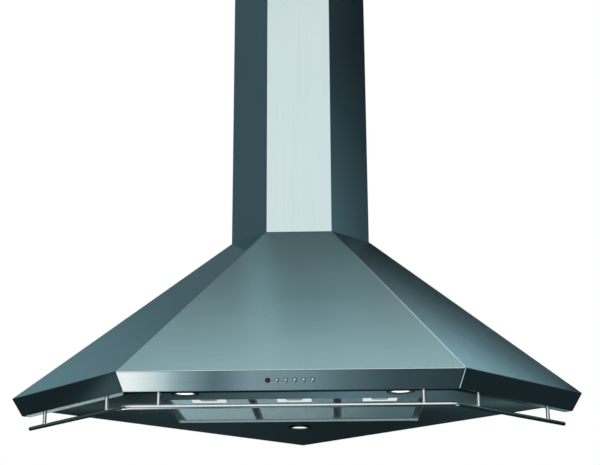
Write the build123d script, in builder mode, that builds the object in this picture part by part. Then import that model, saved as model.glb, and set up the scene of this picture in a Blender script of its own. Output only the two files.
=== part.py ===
from build123d import *
import os
from math import hypot, sqrt

# Corner chimney range hood, in millimetres.
# The origin is on the line where the two walls meet, level with the fascia's bottom edge.
# The hood faces -Y, +X is to the right seen from the room, and +Z is up.

# Outline seen from above
WALL_RUN = 1000.0  # along each wall, at the top edge of the fascia
CHIMNEY_RUN = 297.0  # along each wall, at the top of the slopes
CHIMNEY_SIDE = 161.0  # each chimney side, square to its wall, from the wall to the front corner

# Canopy section
CANOPY_RISE = 561.0
FASCIA_HEIGHT = 40.5
FASCIA_LEAN = 31.0  # the fascia's bottom edge stands this far behind its top edge
FLANGE_WIDTH = 25.0
RECESS_DEPTH = 19.0  # from the flange up to the underside panel
LEDGE_WIDTH = 15.0  # carries the underside panel
TOP_LEDGE_WIDTH = 26.0  # carries the chimney
SHEET = 1.0
FOLD_RADIUS = 2.4  # outside radius of every fold
SEAM = 0.1  # between sheets that are joined

# Chimney
CHIMNEY_STEP = 1.5  # chimney face behind the top edge of the slopes
CHIMNEY_RETURN = 25.0  # fold that lies along each wall
LOWER_CHIMNEY_HEIGHT = 860.0
UPPER_CHIMNEY_SHOW = 42.0  # upper chimney above the lower one when pushed right down
SLEEVE_GAP = 0.5
SEAT_GAP = 0.3
VENT_SLOT_LENGTH = 60.0
VENT_SLOT_WIDTH = 3.6
VENT_SLOT_PITCH = 9.0
VENT_SLOT_COUNT = 7
VENT_TOP_MARGIN = 15.0
BRACKET_HEIGHT = 25.0
BRACKET_TOP_MARGIN = 6.0
BRACKET_HOLE_RADIUS = 3.0
BRACKET_HOLE_RUNS = (60.0, 190.0)  # along the wall from the corner

# Wall holes that the hood hangs on
WALL_HOLE_RADIUS = 4.25
WALL_HOLE_RUNS = (80.0, 300.0)
WALL_HOLE_DROP = 80.5  # below the top plate

# Grease filters and their tray
FILTER_PITCH = 208.0
DIVIDER_WIDTH = 10.0
DIVIDER_SLOT = 2.0
SIDE_CHANNEL = 13.0
FILTER_SIDE_GAP = 1.0
FILTER_FRONT_GAP = 1.5
FILTER_REAR_GAP = 3.5
OPENING_SETBACK = 241.0  # filter opening behind the top edge of the fascia
OPENING_DEPTH = 340.0
FILTER_RECESS = 4.7  # filter face above the underside panel's lower face
FILTER_THICKNESS = 10.0
FILTER_RIM = 2.0  # upright wall of the filter frame
FILTER_LIP = 1.5  # fold of the frame over the mesh
FRAME_SHEET = 1.0
MESH_SHEET = 1.2  # one layer of mesh lies behind each face of the frame
MESH_GAP = 0.2
TRAY_FLANGE = 12.0
TRAY_RIM = 3.0  # tray walls above the filters
PIVOT_RADIUS = 2.0
PIVOT_REACH = 3.0  # pivot stub past the channel web
PIVOT_GAP = 0.06

# Filter handle and latch
HANDLE_WIDTH = 84.0
HANDLE_DEPTH = 53.0
HANDLE_THICKNESS = 2.5
HANDLE_CORNER = 4.0
HANDLE_CHAMFER = 0.8
LATCH_WIDTH = 39.4
LATCH_DEPTH = 30.0
LATCH_THICKNESS = 2.2
LATCH_TRAVEL = 5.0
LATCH_GAP = 0.3
LATCH_RIB_DEPTH = 4.0
LATCH_RIB_DROP = 0.8
LATCH_RIB_INSET = 5.0
LATCH_RIB_ROUND = 0.3
STRIKE_GAP = 0.3  # latch end to the tray's front wall

# Lamps
LAMP_SPREAD = 252.0
LAMP_SETBACK = 157.0  # front lamps behind the top edge of the fascia
LAMP_BEHIND = 95.0  # rear lamp behind the filter opening
BEZEL_RADIUS = 33.0
BEZEL_DROP = 2.5
BEZEL_LIP = 2.0
BEZEL_WALL = 2.0
BEZEL_ROUND = 0.5
BEZEL_SLEEVE = 8.0
LENS_RADIUS = 26.0
LENS_RECESS = 4.0  # lens above the lower face of its bezel
LENS_SEAT = 2.4  # width of the lip that the lens lies on
LENS_THICKNESS = 2.5
LENS_BULGE = 0.6
LAMP_GAP = 0.3
HOUSING_HEIGHT = 40.0
HOUSING_FLANGE = 6.0
BULB_BASE_RADIUS = 7.0
BULB_BASE_HEIGHT = 12.0
BULB_RADIUS = 5.0
BULB_LENGTH = 18.0

# Utensil rail
RAIL_DIAMETER = 10.0
RAIL_DROP = 32.5  # rail axis below the flange
RAIL_BEND = 30.0
RAIL_END_GAP = 20.0  # rail end to the wall
RAIL_END_ROUND = 3.0
POST_DIAMETER = 9.0
POST_FROM_CORNER = 72.5  # posts on the front
POST_BESIDE_CORNER = 78.0  # posts on the sides
POST_FROM_WALL = 88.0
POST_COPE_GAP = 0.05

# Buttons and indicator on the fascia
BUTTON_LINE = 26.0  # down the fascia from its top edge
BUTTON_PITCH = 20.0
BUTTON_RADIUS = 5.0
BUTTON_PROUD = 7.0
BUTTON_ROUND = 4.0
BUTTON_GAP = 0.35
BUTTON_TRAVEL = 3.5
SHOULDER_WIDTH = 1.2
SHOULDER_THICKNESS = 1.5
STEM_RADIUS = 3.0
STEM_LENGTH = 13.0
STEM_GAP = 0.1
SWITCH_MARGIN = 12.0
SWITCH_HEIGHT = 22.0
SWITCH_BACK = 3.0
INDICATOR_RADIUS = 6.2
INDICATOR_LENS_RADIUS = 4.6
INDICATOR_PROUD = 1.0
INDICATOR_WALL = 0.7
INDICATOR_GAP = 0.1
INDICATOR_DEPTH = 5.0

# Outlet and dampers
DUCT_RADIUS = 75.0
DUCT_FROM_CORNER = 185.0
COLLAR_WALL = 1.5
COLLAR_HEIGHT = 60.0
COLLAR_FLANGE = 13.0
COLLAR_SCREW_COUNT = 4
COLLAR_SCREW_ANGLE = 45.0  # of the first screw
FLAP_LEVEL = 30.0
FLAP_OFFSET = 5.0
FLAP_THICKNESS = 1.2
FLAP_BAR_RADIUS = 3.0
FLAP_PIN_RADIUS = 2.0
FLAP_PIN_GAP = 0.06
FLAP_EDGE_GAP = 0.8
FLAP_STOP_WIDTH = 3.0  # bead inside the collar that the shut flaps lie on
FLAP_STOP_HEIGHT = 1.5

# Fan
WHEEL_RADIUS = 75.0
WHEEL_WIDTH = 100.0
WHEEL_RING = 12.0
WHEEL_PLATE = 2.0
BLADE_COUNT = 36
BLADE_THICKNESS = 1.2
HUB_RADIUS = 12.0
HUB_LENGTH = 24.0
SHAFT_RADIUS = 4.0
SHAFT_GAP = 0.06
FAN_DROP = 170.5  # fan axis below the top plate
VOLUTE_START = 84.0
VOLUTE_STEP = 12.0  # the scroll widens by this much in each of three quarter turns
TONGUE_REACH = 28.0
SCROLL_HALF_WIDTH = 65.0
SCROLL_WALL = 2.0
SCROLL_FLANGE = 18.0
INLET_RADIUS = 58.0
MOTOR_RADIUS = 42.0
MOTOR_START = 16.0
MOTOR_LENGTH = 56.0
MOTOR_ROUND = 3.0
CLAMP_WALL = 4.0
CLAMP_LENGTH = 6.0
CLAMP_GAP = 0.1
BRACKET_RIM = 12.0
BRACKET_ARM = 14.0
BRACKET_ARM_COUNT = 3
BRACKET_SHEET = 2.0

# Electrical pieces on the wall panels
BOX_RUN = 295.0
BOX_DROP = 185.5  # below the top plate, as for the next two
BOX_WIDTH = 110.0
BOX_HEIGHT = 70.0
BOX_DEPTH = 36.0
BOX_WALL = 2.5
BOX_CORNER = 5.0
LID_THICKNESS = 3.0
GLAND_RADIUS = 9.0
GLAND_BORE = 4.5
GLAND_THREAD = 7.0
GLAND_HEIGHT = 16.0
GLAND_GAP = 0.2
TRANSFORMER_RUN = 300.0
TRANSFORMER_DROP = 190.5
TRANSFORMER_WIDTH = 105.0
TRANSFORMER_HEIGHT = 45.0
TRANSFORMER_DEPTH = 28.0
TRANSFORMER_ROUND = 3.0
CAPACITOR_RUN = 420.0
CAPACITOR_DROP = 200.5
CAPACITOR_RADIUS = 17.0
CAPACITOR_LENGTH = 60.0
CAPACITOR_ROUND = 2.0

# Screws and nuts
SCREW_RADIUS = 2.0
SCREW_GAP = 0.15
SCREW_HEAD_RADIUS = 3.6
SCREW_HEAD_HEIGHT = 2.4
SCREW_TAIL = 4.0
SCREW_INSET = 18.0  # ledge screws behind the top edge of the slopes
SCREW_SHARES = (0.25, 0.75)  # of the way along each side
FRONT_SCREW_SHARE = 0.75  # of the way from the middle of the front to its corner
NUT_FLATS = 7.0
NUT_HEIGHT = 3.2

# Worked out from the sizes above
ROOT2 = sqrt(2)
CANOPY_RUN = WALL_RUN - CHIMNEY_RUN  # how far the slopes come in from the fascia to the chimney
SIDE_RUN = CHIMNEY_SIDE + CANOPY_RUN * (ROOT2 - 1)  # keeps the three slopes equally steep
FRONT_REACH = (WALL_RUN + SIDE_RUN) / ROOT2
LIP = FASCIA_LEAN + FLANGE_WIDTH
CANOPY_TOP = FASCIA_HEIGHT + CANOPY_RISE
SLOPE_INSET = SHEET * hypot(CANOPY_RUN, CANOPY_RISE) / CANOPY_RISE
PANEL_TOP = RECESS_DEPTH + SHEET
PLATE_TOP = CANOPY_TOP - SHEET
PLATE_BOTTOM = PLATE_TOP - SHEET
WALL_HOLE_HEIGHT = PLATE_TOP - WALL_HOLE_DROP
CHIMNEY_INSET = CANOPY_RUN + CHIMNEY_STEP
SLEEVE_STEP = SHEET + SLEEVE_GAP
UPPER_CHIMNEY_TOP = CANOPY_TOP + LOWER_CHIMNEY_HEIGHT + UPPER_CHIMNEY_SHOW
SCREW_HOLE = SCREW_RADIUS + SCREW_GAP

FILTER_WIDTH = FILTER_PITCH - DIVIDER_WIDTH - 2 * FILTER_SIDE_GAP
FILTER_LENGTH = OPENING_DEPTH - FILTER_FRONT_GAP - FILTER_REAR_GAP
OPENING_FRONT = FRONT_REACH - OPENING_SETBACK
FILTER_FRONT = -OPENING_FRONT + FILTER_FRONT_GAP
FILTER_CENTRE = FILTER_FRONT + FILTER_LENGTH / 2
FILTER_BOTTOM = RECESS_DEPTH + FILTER_RECESS
FILTER_TOP = FILTER_BOTTOM + FILTER_THICKNESS
PIVOT_Y = FILTER_FRONT + FILTER_LENGTH - FILTER_THICKNESS / 2
PIVOT_Z = FILTER_BOTTOM + FILTER_THICKNESS / 2
CHANNEL_WEB = FILTER_PITCH + FILTER_WIDTH / 2 + FILTER_SIDE_GAP
OPENING_WIDTH = 2 * (CHANNEL_WEB + SIDE_CHANNEL)
OPENING_CENTRE = OPENING_DEPTH / 2 - OPENING_FRONT

LAMP_FRONT = LAMP_SETBACK - FRONT_REACH
LAMP_REAR = OPENING_DEPTH + LAMP_BEHIND - OPENING_FRONT
LAMP_PLACES = {
    "left": (-LAMP_SPREAD, LAMP_FRONT),
    "right": (LAMP_SPREAD, LAMP_FRONT),
    "rear": (0.0, LAMP_REAR),
}
SLEEVE_INNER = LENS_RADIUS + LAMP_GAP
SLEEVE_OUTER = SLEEVE_INNER + BEZEL_WALL
LAMP_HOLE = SLEEVE_OUTER + LAMP_GAP
LENS_LOW = RECESS_DEPTH - BEZEL_DROP + LENS_RECESS

FASCIA_SLANT = hypot(FASCIA_HEIGHT, FASCIA_LEAN)
BUTTON_SHARE = BUTTON_LINE / FASCIA_SLANT
FASCIA_POINT = (0, BUTTON_SHARE * FASCIA_LEAN - FRONT_REACH, FASCIA_HEIGHT * (1 - BUTTON_SHARE))
FASCIA_PLANE = Plane(FASCIA_POINT, x_dir=(1, 0, 0), z_dir=(0, -FASCIA_HEIGHT, -FASCIA_LEAN))
FASCIA_AXIS = Axis(FASCIA_POINT, FASCIA_PLANE.z_dir)
BUTTON_NAMES = ("light", "stop", "speed_1", "speed_2", "speed_3")
CONTROL_PLACES = [BUTTON_PITCH * (step - len(BUTTON_NAMES) / 2) for step in range(len(BUTTON_NAMES) + 1)]
INDICATOR_PLACE = CONTROL_PLACES[0]
BUTTON_PLACES = CONTROL_PLACES[1:]
SHOULDER_TOP = -SHEET - SEAT_GAP
SHOULDER_RADIUS = BUTTON_RADIUS + SHOULDER_WIDTH
STEM_TOP = SHOULDER_TOP - SHOULDER_THICKNESS
STEM_END = STEM_TOP - STEM_LENGTH

THROAT_WIDTH = VOLUTE_START + 3 * VOLUTE_STEP - TONGUE_REACH
FAN_HEIGHT = PLATE_TOP - FAN_DROP
FAN_Y = -DUCT_FROM_CORNER - TONGUE_REACH - THROAT_WIDTH / 2
DUCT_CENTRE = (0, -DUCT_FROM_CORNER)
FLAP_Z = PLATE_TOP + FLAP_LEVEL
COLLAR_BORE = DUCT_RADIUS - COLLAR_WALL
COLLAR_SCREW_CIRCLE = DUCT_RADIUS + COLLAR_FLANGE / 2
BOX_LEVEL = PLATE_TOP - BOX_DROP
TRANSFORMER_LEVEL = PLATE_TOP - TRANSFORMER_DROP
CAPACITOR_LEVEL = PLATE_TOP - CAPACITOR_DROP


def save(piece, name):
    """Label a finished piece and write its file."""
    piece.part.label = name
    export_step(piece.part, f"parts/{name}.step")


def wall_point(run, gap):
    """Point in plan, run along the left wall from the corner and gap away from that wall."""
    return ((gap - run) / ROOT2, -(gap + run) / ROOT2)


def mirrored(point):
    return (-point[0], point[1])


def plan_points(inset, gap=0.0):
    """Outline from above, moved in from the front and sides by inset and from the walls by gap."""
    reach = FRONT_REACH - inset
    run = WALL_RUN - inset
    front_corner = (reach - run * ROOT2, -reach)
    wall_end = wall_point(run, gap)
    corner = (0, -gap * ROOT2)
    return [corner, wall_end, front_corner, mirrored(front_corner), mirrored(wall_end)]


def slope_inset(height):
    """Inset of the slopes' inner faces at a height."""
    return (height - FASCIA_HEIGHT) * CANOPY_RUN / CANOPY_RISE + SLOPE_INSET


def wall_plane(side, depth=0.0):
    """Sketch plane on a wall: X along the wall, Y up, Z out through the wall. Side is -1 left, 1 right."""
    out = Vector(side, 1, 0).normalized()
    return Plane(out * -depth, x_dir=Vector(0, 0, 1).cross(out), z_dir=out)


def wall_x(side, run):
    """Sketch X of a place on wall_plane, run along the wall from the corner."""
    return -side * run


# Planes where the canopy's sheets meet, and the wall that ends them
FRONT_LEFT = plan_points(0)[2]
MITRE = Plane((*FRONT_LEFT, 0), z_dir=(1, 1 - ROOT2, 0))
LEFT_WALL = Plane((0, 0, 0), z_dir=(1, -1, 0))


def canopy_section(outward, reach):
    """Folded section of one canopy sheet, square to the direction that the sheet faces."""
    outline = [
        (CANOPY_RUN + TOP_LEDGE_WIDTH, CANOPY_TOP),
        (CANOPY_RUN, CANOPY_TOP),
        (0, FASCIA_HEIGHT),
        (FASCIA_LEAN, 0),
        (LIP, 0),
        (LIP, RECESS_DEPTH - SHEET),
        (LIP + LEDGE_WIDTH, RECESS_DEPTH - SHEET),
    ]
    section = Plane((0, 0, 0), x_dir=outward, z_dir=Vector(outward).cross(Vector(0, 0, 1)))
    with BuildSketch(section) as sketch:
        with BuildLine():
            FilletPolyline(*[(reach - inset, height) for inset, height in outline], radius=FOLD_RADIUS)
            offset(amount=SHEET, side=Side.RIGHT)
        make_face()
    return sketch.sketch


def post_places():
    """Rail posts as points in plan, those on the front first."""
    inset = FASCIA_LEAN + FLANGE_WIDTH / 2
    corner = Vector(*plan_points(inset)[2])
    front = corner + Vector(POST_FROM_CORNER, 0)
    side = corner + Vector(-POST_BESIDE_CORNER, POST_BESIDE_CORNER) / ROOT2
    near_wall = wall_point(WALL_RUN - inset, POST_FROM_WALL)
    left = [(front.X, front.Y), (side.X, side.Y), near_wall]
    return left, [mirrored(point) for point in left]


def ledge_screw_places():
    """Screws through the canopy's top ledge into the top plate, as points in plan."""
    inset = CANOPY_RUN + SCREW_INSET
    left_corner = plan_points(inset)[2]
    front = (left_corner[0] * FRONT_SCREW_SHARE, left_corner[1])
    run = WALL_RUN - inset
    side_depth = FRONT_REACH * ROOT2 - WALL_RUN + inset * (1 - ROOT2)
    left = [front] + [wall_point(run, side_depth * share) for share in SCREW_SHARES]
    return left + [mirrored(point) for point in left]


def screw_holes(points, height):
    """Screw clearance holes in plan, at a height."""
    with BuildSketch(Plane.XY.offset(height)) as sketch:
        with Locations(*points):
            Circle(SCREW_HOLE)
    return sketch.sketch


os.makedirs("parts", exist_ok=True)
LEFT_POSTS, RIGHT_POSTS = post_places()

# Canopy: three sheets with the same folded section, mitred at the front corners
with BuildPart() as canopy_front_panel:
    extrude(canopy_section((0, -1, 0), FRONT_REACH), amount=WALL_RUN, both=True)
    split(bisect_by=MITRE, keep=Keep.TOP)
    mirror(about=Plane.YZ, mode=Mode.INTERSECT)
    extrude(screw_holes([LEFT_POSTS[0], RIGHT_POSTS[0]], 0), amount=SHEET, mode=Mode.SUBTRACT)
    extrude(screw_holes(ledge_screw_places(), PLATE_TOP), amount=SHEET, mode=Mode.SUBTRACT)
    with BuildSketch(FASCIA_PLANE):
        with Locations(*[(place, 0) for place in BUTTON_PLACES]):
            Circle(BUTTON_RADIUS + BUTTON_GAP)
        with Locations((INDICATOR_PLACE, 0)):
            Circle(INDICATOR_LENS_RADIUS + INDICATOR_GAP + INDICATOR_WALL + INDICATOR_GAP)
    extrude(amount=2 * SHEET, both=True, mode=Mode.SUBTRACT)
save(canopy_front_panel, "canopy_front_panel")

with BuildPart() as canopy_left_panel:
    extrude(canopy_section((-1 / ROOT2, -1 / ROOT2, 0), WALL_RUN), amount=WALL_RUN, both=True)
    split(bisect_by=MITRE, keep=Keep.BOTTOM)
    split(bisect_by=LEFT_WALL, keep=Keep.TOP)
    extrude(screw_holes(LEFT_POSTS[1:], 0), amount=SHEET, mode=Mode.SUBTRACT)
    extrude(screw_holes(ledge_screw_places(), PLATE_TOP), amount=SHEET, mode=Mode.SUBTRACT)
save(canopy_left_panel, "canopy_left_panel")

with BuildPart() as canopy_right_panel:
    mirror(canopy_left_panel.part, about=Plane.YZ)
save(canopy_right_panel, "canopy_right_panel")

# Back sheets that lie on the walls
with BuildPart() as wall_panel_left:
    lip_run = WALL_RUN - LIP - SEAM
    lip_height = FASCIA_HEIGHT + (LIP - SLOPE_INSET) * CANOPY_RISE / CANOPY_RUN
    outline = [
        (0, RECESS_DEPTH + SEAM),
        (lip_run, RECESS_DEPTH + SEAM),
        (lip_run, lip_height - SEAM),
        (WALL_RUN - slope_inset(PLATE_TOP) - SEAM, PLATE_TOP - SEAM),
        (0, PLATE_TOP - SEAM),
    ]
    with BuildSketch(wall_plane(-1)):
        with BuildLine():
            Polyline(*[(wall_x(-1, run), height) for run, height in outline], close=True)
        make_face()
        with Locations(*[(wall_x(-1, run), WALL_HOLE_HEIGHT) for run in WALL_HOLE_RUNS]):
            Circle(WALL_HOLE_RADIUS, mode=Mode.SUBTRACT)
    extrude(amount=-SHEET)
    split(bisect_by=Plane.YZ, keep=Keep.BOTTOM)
save(wall_panel_left, "wall_panel_left")

with BuildPart() as wall_panel_right:
    mirror(wall_panel_left.part, about=Plane.YZ)
save(wall_panel_right, "wall_panel_right")

with BuildPart() as top_plate:
    with BuildSketch(Plane.XY.offset(PLATE_BOTTOM)):
        with BuildLine():
            Polyline(*plan_points(slope_inset(PLATE_TOP) + FOLD_RADIUS, SHEET + SEAM), close=True)
        make_face()
        with Locations(DUCT_CENTRE):
            Circle(COLLAR_BORE, mode=Mode.SUBTRACT)
            with PolarLocations(COLLAR_SCREW_CIRCLE, COLLAR_SCREW_COUNT, start_angle=COLLAR_SCREW_ANGLE):
                Circle(SCREW_HOLE, mode=Mode.SUBTRACT)
        with Locations(*ledge_screw_places()):
            Circle(SCREW_HOLE, mode=Mode.SUBTRACT)
    extrude(amount=SHEET)
save(top_plate, "top_plate")

with BuildPart() as top_plate_screws:
    for x, y in ledge_screw_places():
        with BuildSketch(Plane.XY.offset(CANOPY_TOP)):
            with Locations((x, y)):
                Circle(SCREW_HEAD_RADIUS)
        extrude(amount=SCREW_HEAD_HEIGHT)
        with BuildSketch(Plane.XY.offset(CANOPY_TOP)):
            with Locations((x, y)):
                Circle(SCREW_RADIUS)
        extrude(amount=-SHEET - SHEET - SCREW_TAIL)
save(top_plate_screws, "top_plate_screws")

# Underside panel and the tray that holds the filters
with BuildPart() as underside_panel:
    with BuildSketch(Plane.XY.offset(RECESS_DEPTH)):
        with BuildLine():
            Polyline(*plan_points(LIP + SEAM, SHEET + SEAM), close=True)
        make_face()
        with Locations((0, OPENING_CENTRE)):
            Rectangle(OPENING_WIDTH, OPENING_DEPTH, mode=Mode.SUBTRACT)
        with Locations(*LAMP_PLACES.values()):
            Circle(LAMP_HOLE, mode=Mode.SUBTRACT)
    extrude(amount=SHEET)
save(underside_panel, "underside_panel")

with BuildPart() as filter_tray:
    with BuildSketch(Plane.XY.offset(PANEL_TOP)):
        with Locations((0, OPENING_CENTRE)):
            Rectangle(OPENING_WIDTH + 2 * TRAY_FLANGE, OPENING_DEPTH + 2 * TRAY_FLANGE)
            Rectangle(OPENING_WIDTH, OPENING_DEPTH, mode=Mode.SUBTRACT)
    extrude(amount=SHEET)
    with BuildSketch(Plane.XY.offset(PANEL_TOP)):
        with Locations((0, OPENING_CENTRE)):
            Rectangle(OPENING_WIDTH + 2 * SHEET, OPENING_DEPTH + 2 * SHEET)
            Rectangle(OPENING_WIDTH, OPENING_DEPTH, mode=Mode.SUBTRACT)
    extrude(amount=FILTER_TOP + TRAY_RIM - PANEL_TOP)
    divider_places = [(-FILTER_PITCH / 2, OPENING_CENTRE), (FILTER_PITCH / 2, OPENING_CENTRE)]
    side_places = [(side * (CHANNEL_WEB + SIDE_CHANNEL / 2), OPENING_CENTRE) for side in (-1, 1)]
    with BuildSketch(Plane.XY.offset(FILTER_BOTTOM)):
        with Locations(*divider_places):
            Rectangle(DIVIDER_WIDTH, OPENING_DEPTH)
            Rectangle(DIVIDER_SLOT, OPENING_DEPTH - 2 * DIVIDER_WIDTH, mode=Mode.SUBTRACT)
        with Locations(*side_places):
            Rectangle(SIDE_CHANNEL, OPENING_DEPTH)
    extrude(amount=SHEET)
    with BuildSketch(Plane.XY.offset(FILTER_BOTTOM)):
        with Locations(*divider_places):
            Rectangle(DIVIDER_WIDTH, OPENING_DEPTH)
            Rectangle(DIVIDER_WIDTH - 2 * SHEET, OPENING_DEPTH, mode=Mode.SUBTRACT)
        for side in (-1, 1):
            with Locations((side * (CHANNEL_WEB + SHEET / 2), OPENING_CENTRE)):
                Rectangle(SHEET, OPENING_DEPTH)
    extrude(amount=FILTER_THICKNESS + TRAY_RIM)
    with BuildSketch(Plane.YZ):
        with Locations((PIVOT_Y, PIVOT_Z)):
            Circle(PIVOT_RADIUS + PIVOT_GAP)
    extrude(amount=CHANNEL_WEB + SIDE_CHANNEL / 2, both=True, mode=Mode.SUBTRACT)
save(filter_tray, "filter_tray")


def build_filter(name, x):
    """One grease filter: frame with pivot stubs, two mesh layers, handle plate and sliding latch."""
    mesh_width = FILTER_WIDTH - 2 * FILTER_RIM
    mesh_length = FILTER_LENGTH - 2 * FILTER_RIM

    with BuildPart() as frame:
        with BuildSketch(Plane.XY.offset(FILTER_BOTTOM)):
            with Locations((x, FILTER_CENTRE)):
                Rectangle(FILTER_WIDTH, FILTER_LENGTH)
                window = (mesh_width - 2 * FILTER_LIP, mesh_length - 2 * FILTER_LIP)
                Rectangle(*window, mode=Mode.SUBTRACT)
        extrude(amount=FILTER_THICKNESS)
        with BuildSketch(Plane.XY.offset(FILTER_BOTTOM + FRAME_SHEET)):
            with Locations((x, FILTER_CENTRE)):
                Rectangle(mesh_width, mesh_length)
        extrude(amount=FILTER_THICKNESS - 2 * FRAME_SHEET, mode=Mode.SUBTRACT)
        for side in (-1, 1):
            with BuildSketch(Plane.YZ.offset(x + side * FILTER_WIDTH / 2)):
                with Locations((PIVOT_Y, PIVOT_Z)):
                    Circle(PIVOT_RADIUS)
            extrude(amount=side * (FILTER_SIDE_GAP + SHEET + PIVOT_REACH))
    save(frame, f"{name}_frame")

    with BuildPart() as mesh:
        for face, inward in ((FILTER_BOTTOM, 1), (FILTER_TOP, -1)):
            with BuildSketch(Plane.XY.offset(face + inward * (FRAME_SHEET + MESH_GAP))):
                with Locations((x, FILTER_CENTRE)):
                    Rectangle(mesh_width - 2 * MESH_GAP, mesh_length - 2 * MESH_GAP)
            extrude(amount=inward * MESH_SHEET)
    save(mesh, f"{name}_mesh")

    notch_width = LATCH_WIDTH + 2 * LATCH_GAP
    notch_depth = LATCH_DEPTH + LATCH_TRAVEL + LATCH_GAP - FILTER_FRONT_GAP + STRIKE_GAP
    with BuildPart() as handle:
        with BuildSketch(Plane.XY.offset(FILTER_BOTTOM)):
            with Locations((x, FILTER_FRONT + HANDLE_DEPTH / 2)):
                RectangleRounded(HANDLE_WIDTH, HANDLE_DEPTH, HANDLE_CORNER)
            with Locations((x, FILTER_FRONT + notch_depth / 2)):
                Rectangle(notch_width, notch_depth, mode=Mode.SUBTRACT)
        extrude(amount=-HANDLE_THICKNESS)
        rim = handle.faces().sort_by(Axis.Z)[0].edges()
        chamfer(rim, length=HANDLE_CHAMFER)
    save(handle, f"{name}_handle")

    latch_front = -OPENING_FRONT + STRIKE_GAP
    latch_top = FILTER_BOTTOM - LATCH_GAP
    with BuildPart() as latch:
        with BuildSketch(Plane.XY.offset(latch_top)):
            with Locations((x, latch_front + LATCH_DEPTH / 2)):
                Rectangle(LATCH_WIDTH, LATCH_DEPTH)
        extrude(amount=-LATCH_THICKNESS)
        with BuildSketch(Plane.XY.offset(latch_top - LATCH_THICKNESS)):
            with Locations((x, latch_front + LATCH_DEPTH - LATCH_RIB_DEPTH / 2)):
                Rectangle(LATCH_WIDTH - 2 * LATCH_RIB_INSET, LATCH_RIB_DEPTH)
        extrude(amount=-LATCH_RIB_DROP)
        fillet(latch.faces().sort_by(Axis.Z)[0].edges().filter_by(Axis.X), radius=LATCH_RIB_ROUND)
    save(latch, f"{name}_latch")


for filter_name, step in (("filter_left", -1), ("filter_middle", 0), ("filter_right", 1)):
    build_filter(filter_name, step * FILTER_PITCH)


def build_lamp(name, place):
    """One recessed lamp: bezel under the panel, lens in the bezel and a housing above the panel."""
    axis_plane = Plane((*place, 0), x_dir=(1, 0, 0), z_dir=(0, -1, 0))
    axis = Axis((*place, 0), (0, 0, 1))
    bezel_low = RECESS_DEPTH - BEZEL_DROP
    opening = LENS_RADIUS - LENS_SEAT

    with BuildPart() as bezel:
        with BuildSketch(axis_plane):
            with BuildLine():
                Polyline(
                    (opening, bezel_low),
                    (BEZEL_RADIUS - BEZEL_DROP, bezel_low),
                    (BEZEL_RADIUS, RECESS_DEPTH - BEZEL_LIP),
                    (BEZEL_RADIUS, RECESS_DEPTH),
                    (SLEEVE_OUTER, RECESS_DEPTH),
                    (SLEEVE_OUTER, RECESS_DEPTH + BEZEL_SLEEVE),
                    (SLEEVE_INNER, RECESS_DEPTH + BEZEL_SLEEVE),
                    (SLEEVE_INNER, LENS_LOW),
                    (opening, LENS_LOW),
                    close=True,
                )
            make_face()
        revolve(axis=axis)
        fillet(bezel.edges().filter_by(GeomType.CIRCLE).group_by(Axis.Z)[0][-1:], radius=BEZEL_ROUND)
    save(bezel, f"lamp_{name}_bezel")

    with BuildPart() as lens:
        with BuildSketch(axis_plane):
            with BuildLine():
                rim = opening - LAMP_GAP
                Line((0, LENS_LOW - LENS_BULGE), (0, LENS_LOW + LENS_THICKNESS))
                Line((0, LENS_LOW + LENS_THICKNESS), (LENS_RADIUS, LENS_LOW + LENS_THICKNESS))
                Line((LENS_RADIUS, LENS_LOW + LENS_THICKNESS), (LENS_RADIUS, LENS_LOW))
                Line((LENS_RADIUS, LENS_LOW), (rim, LENS_LOW))
                TangentArc((0, LENS_LOW - LENS_BULGE), (rim, LENS_LOW), tangent=(1, 0))
            make_face()
        revolve(axis=axis)
    save(lens, f"lamp_{name}_lens")

    inner = SLEEVE_OUTER + LAMP_GAP
    with BuildPart() as housing:
        with BuildSketch(axis_plane):
            with BuildLine():
                Polyline(
                    (inner, PANEL_TOP),
                    (inner + SHEET + HOUSING_FLANGE, PANEL_TOP),
                    (inner + SHEET + HOUSING_FLANGE, PANEL_TOP + SHEET),
                    (inner + SHEET, PANEL_TOP + SHEET),
                    (inner + SHEET, PANEL_TOP + HOUSING_HEIGHT),
                    (0, PANEL_TOP + HOUSING_HEIGHT),
                    (0, PANEL_TOP + HOUSING_HEIGHT - SHEET),
                    (inner, PANEL_TOP + HOUSING_HEIGHT - SHEET),
                    close=True,
                )
            make_face()
        revolve(axis=axis)
    save(housing, f"lamp_{name}_housing")


for lamp_name, lamp_place in LAMP_PLACES.items():
    build_lamp(lamp_name, lamp_place)

with BuildPart() as lamp_bulbs:
    ceiling = PANEL_TOP + HOUSING_HEIGHT - SHEET
    for x, y in LAMP_PLACES.values():
        with BuildSketch(Plane.XY.offset(ceiling)):
            with Locations((x, y)):
                Circle(BULB_BASE_RADIUS)
        extrude(amount=-BULB_BASE_HEIGHT)
        with BuildSketch(Plane.XY.offset(ceiling - BULB_BASE_HEIGHT)):
            with Locations((x, y)):
                Circle(BULB_RADIUS)
        extrude(amount=BULB_RADIUS - BULB_LENGTH)
        with Locations((x, y, ceiling - BULB_BASE_HEIGHT - BULB_LENGTH + BULB_RADIUS)):
            Sphere(BULB_RADIUS)
save(lamp_bulbs, "lamp_bulbs")

# Utensil rail, the posts it hangs on and the nuts that hold them
with BuildPart() as utensil_rail:
    rail_inset = FASCIA_LEAN + FLANGE_WIDTH / 2
    rail_points = plan_points(rail_inset, RAIL_END_GAP)[1:]
    with BuildLine(Plane.XY.offset(-RAIL_DROP)) as rail_line:
        FilletPolyline(*rail_points, radius=RAIL_BEND)
    with BuildSketch(Plane(rail_line.line @ 0, z_dir=rail_line.line % 0)):
        Circle(RAIL_DIAMETER / 2)
    sweep(path=rail_line.line)
    end_faces = utensil_rail.faces().filter_by(GeomType.PLANE)
    fillet(end_faces.edges(), radius=RAIL_END_ROUND)
save(utensil_rail, "utensil_rail")

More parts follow.
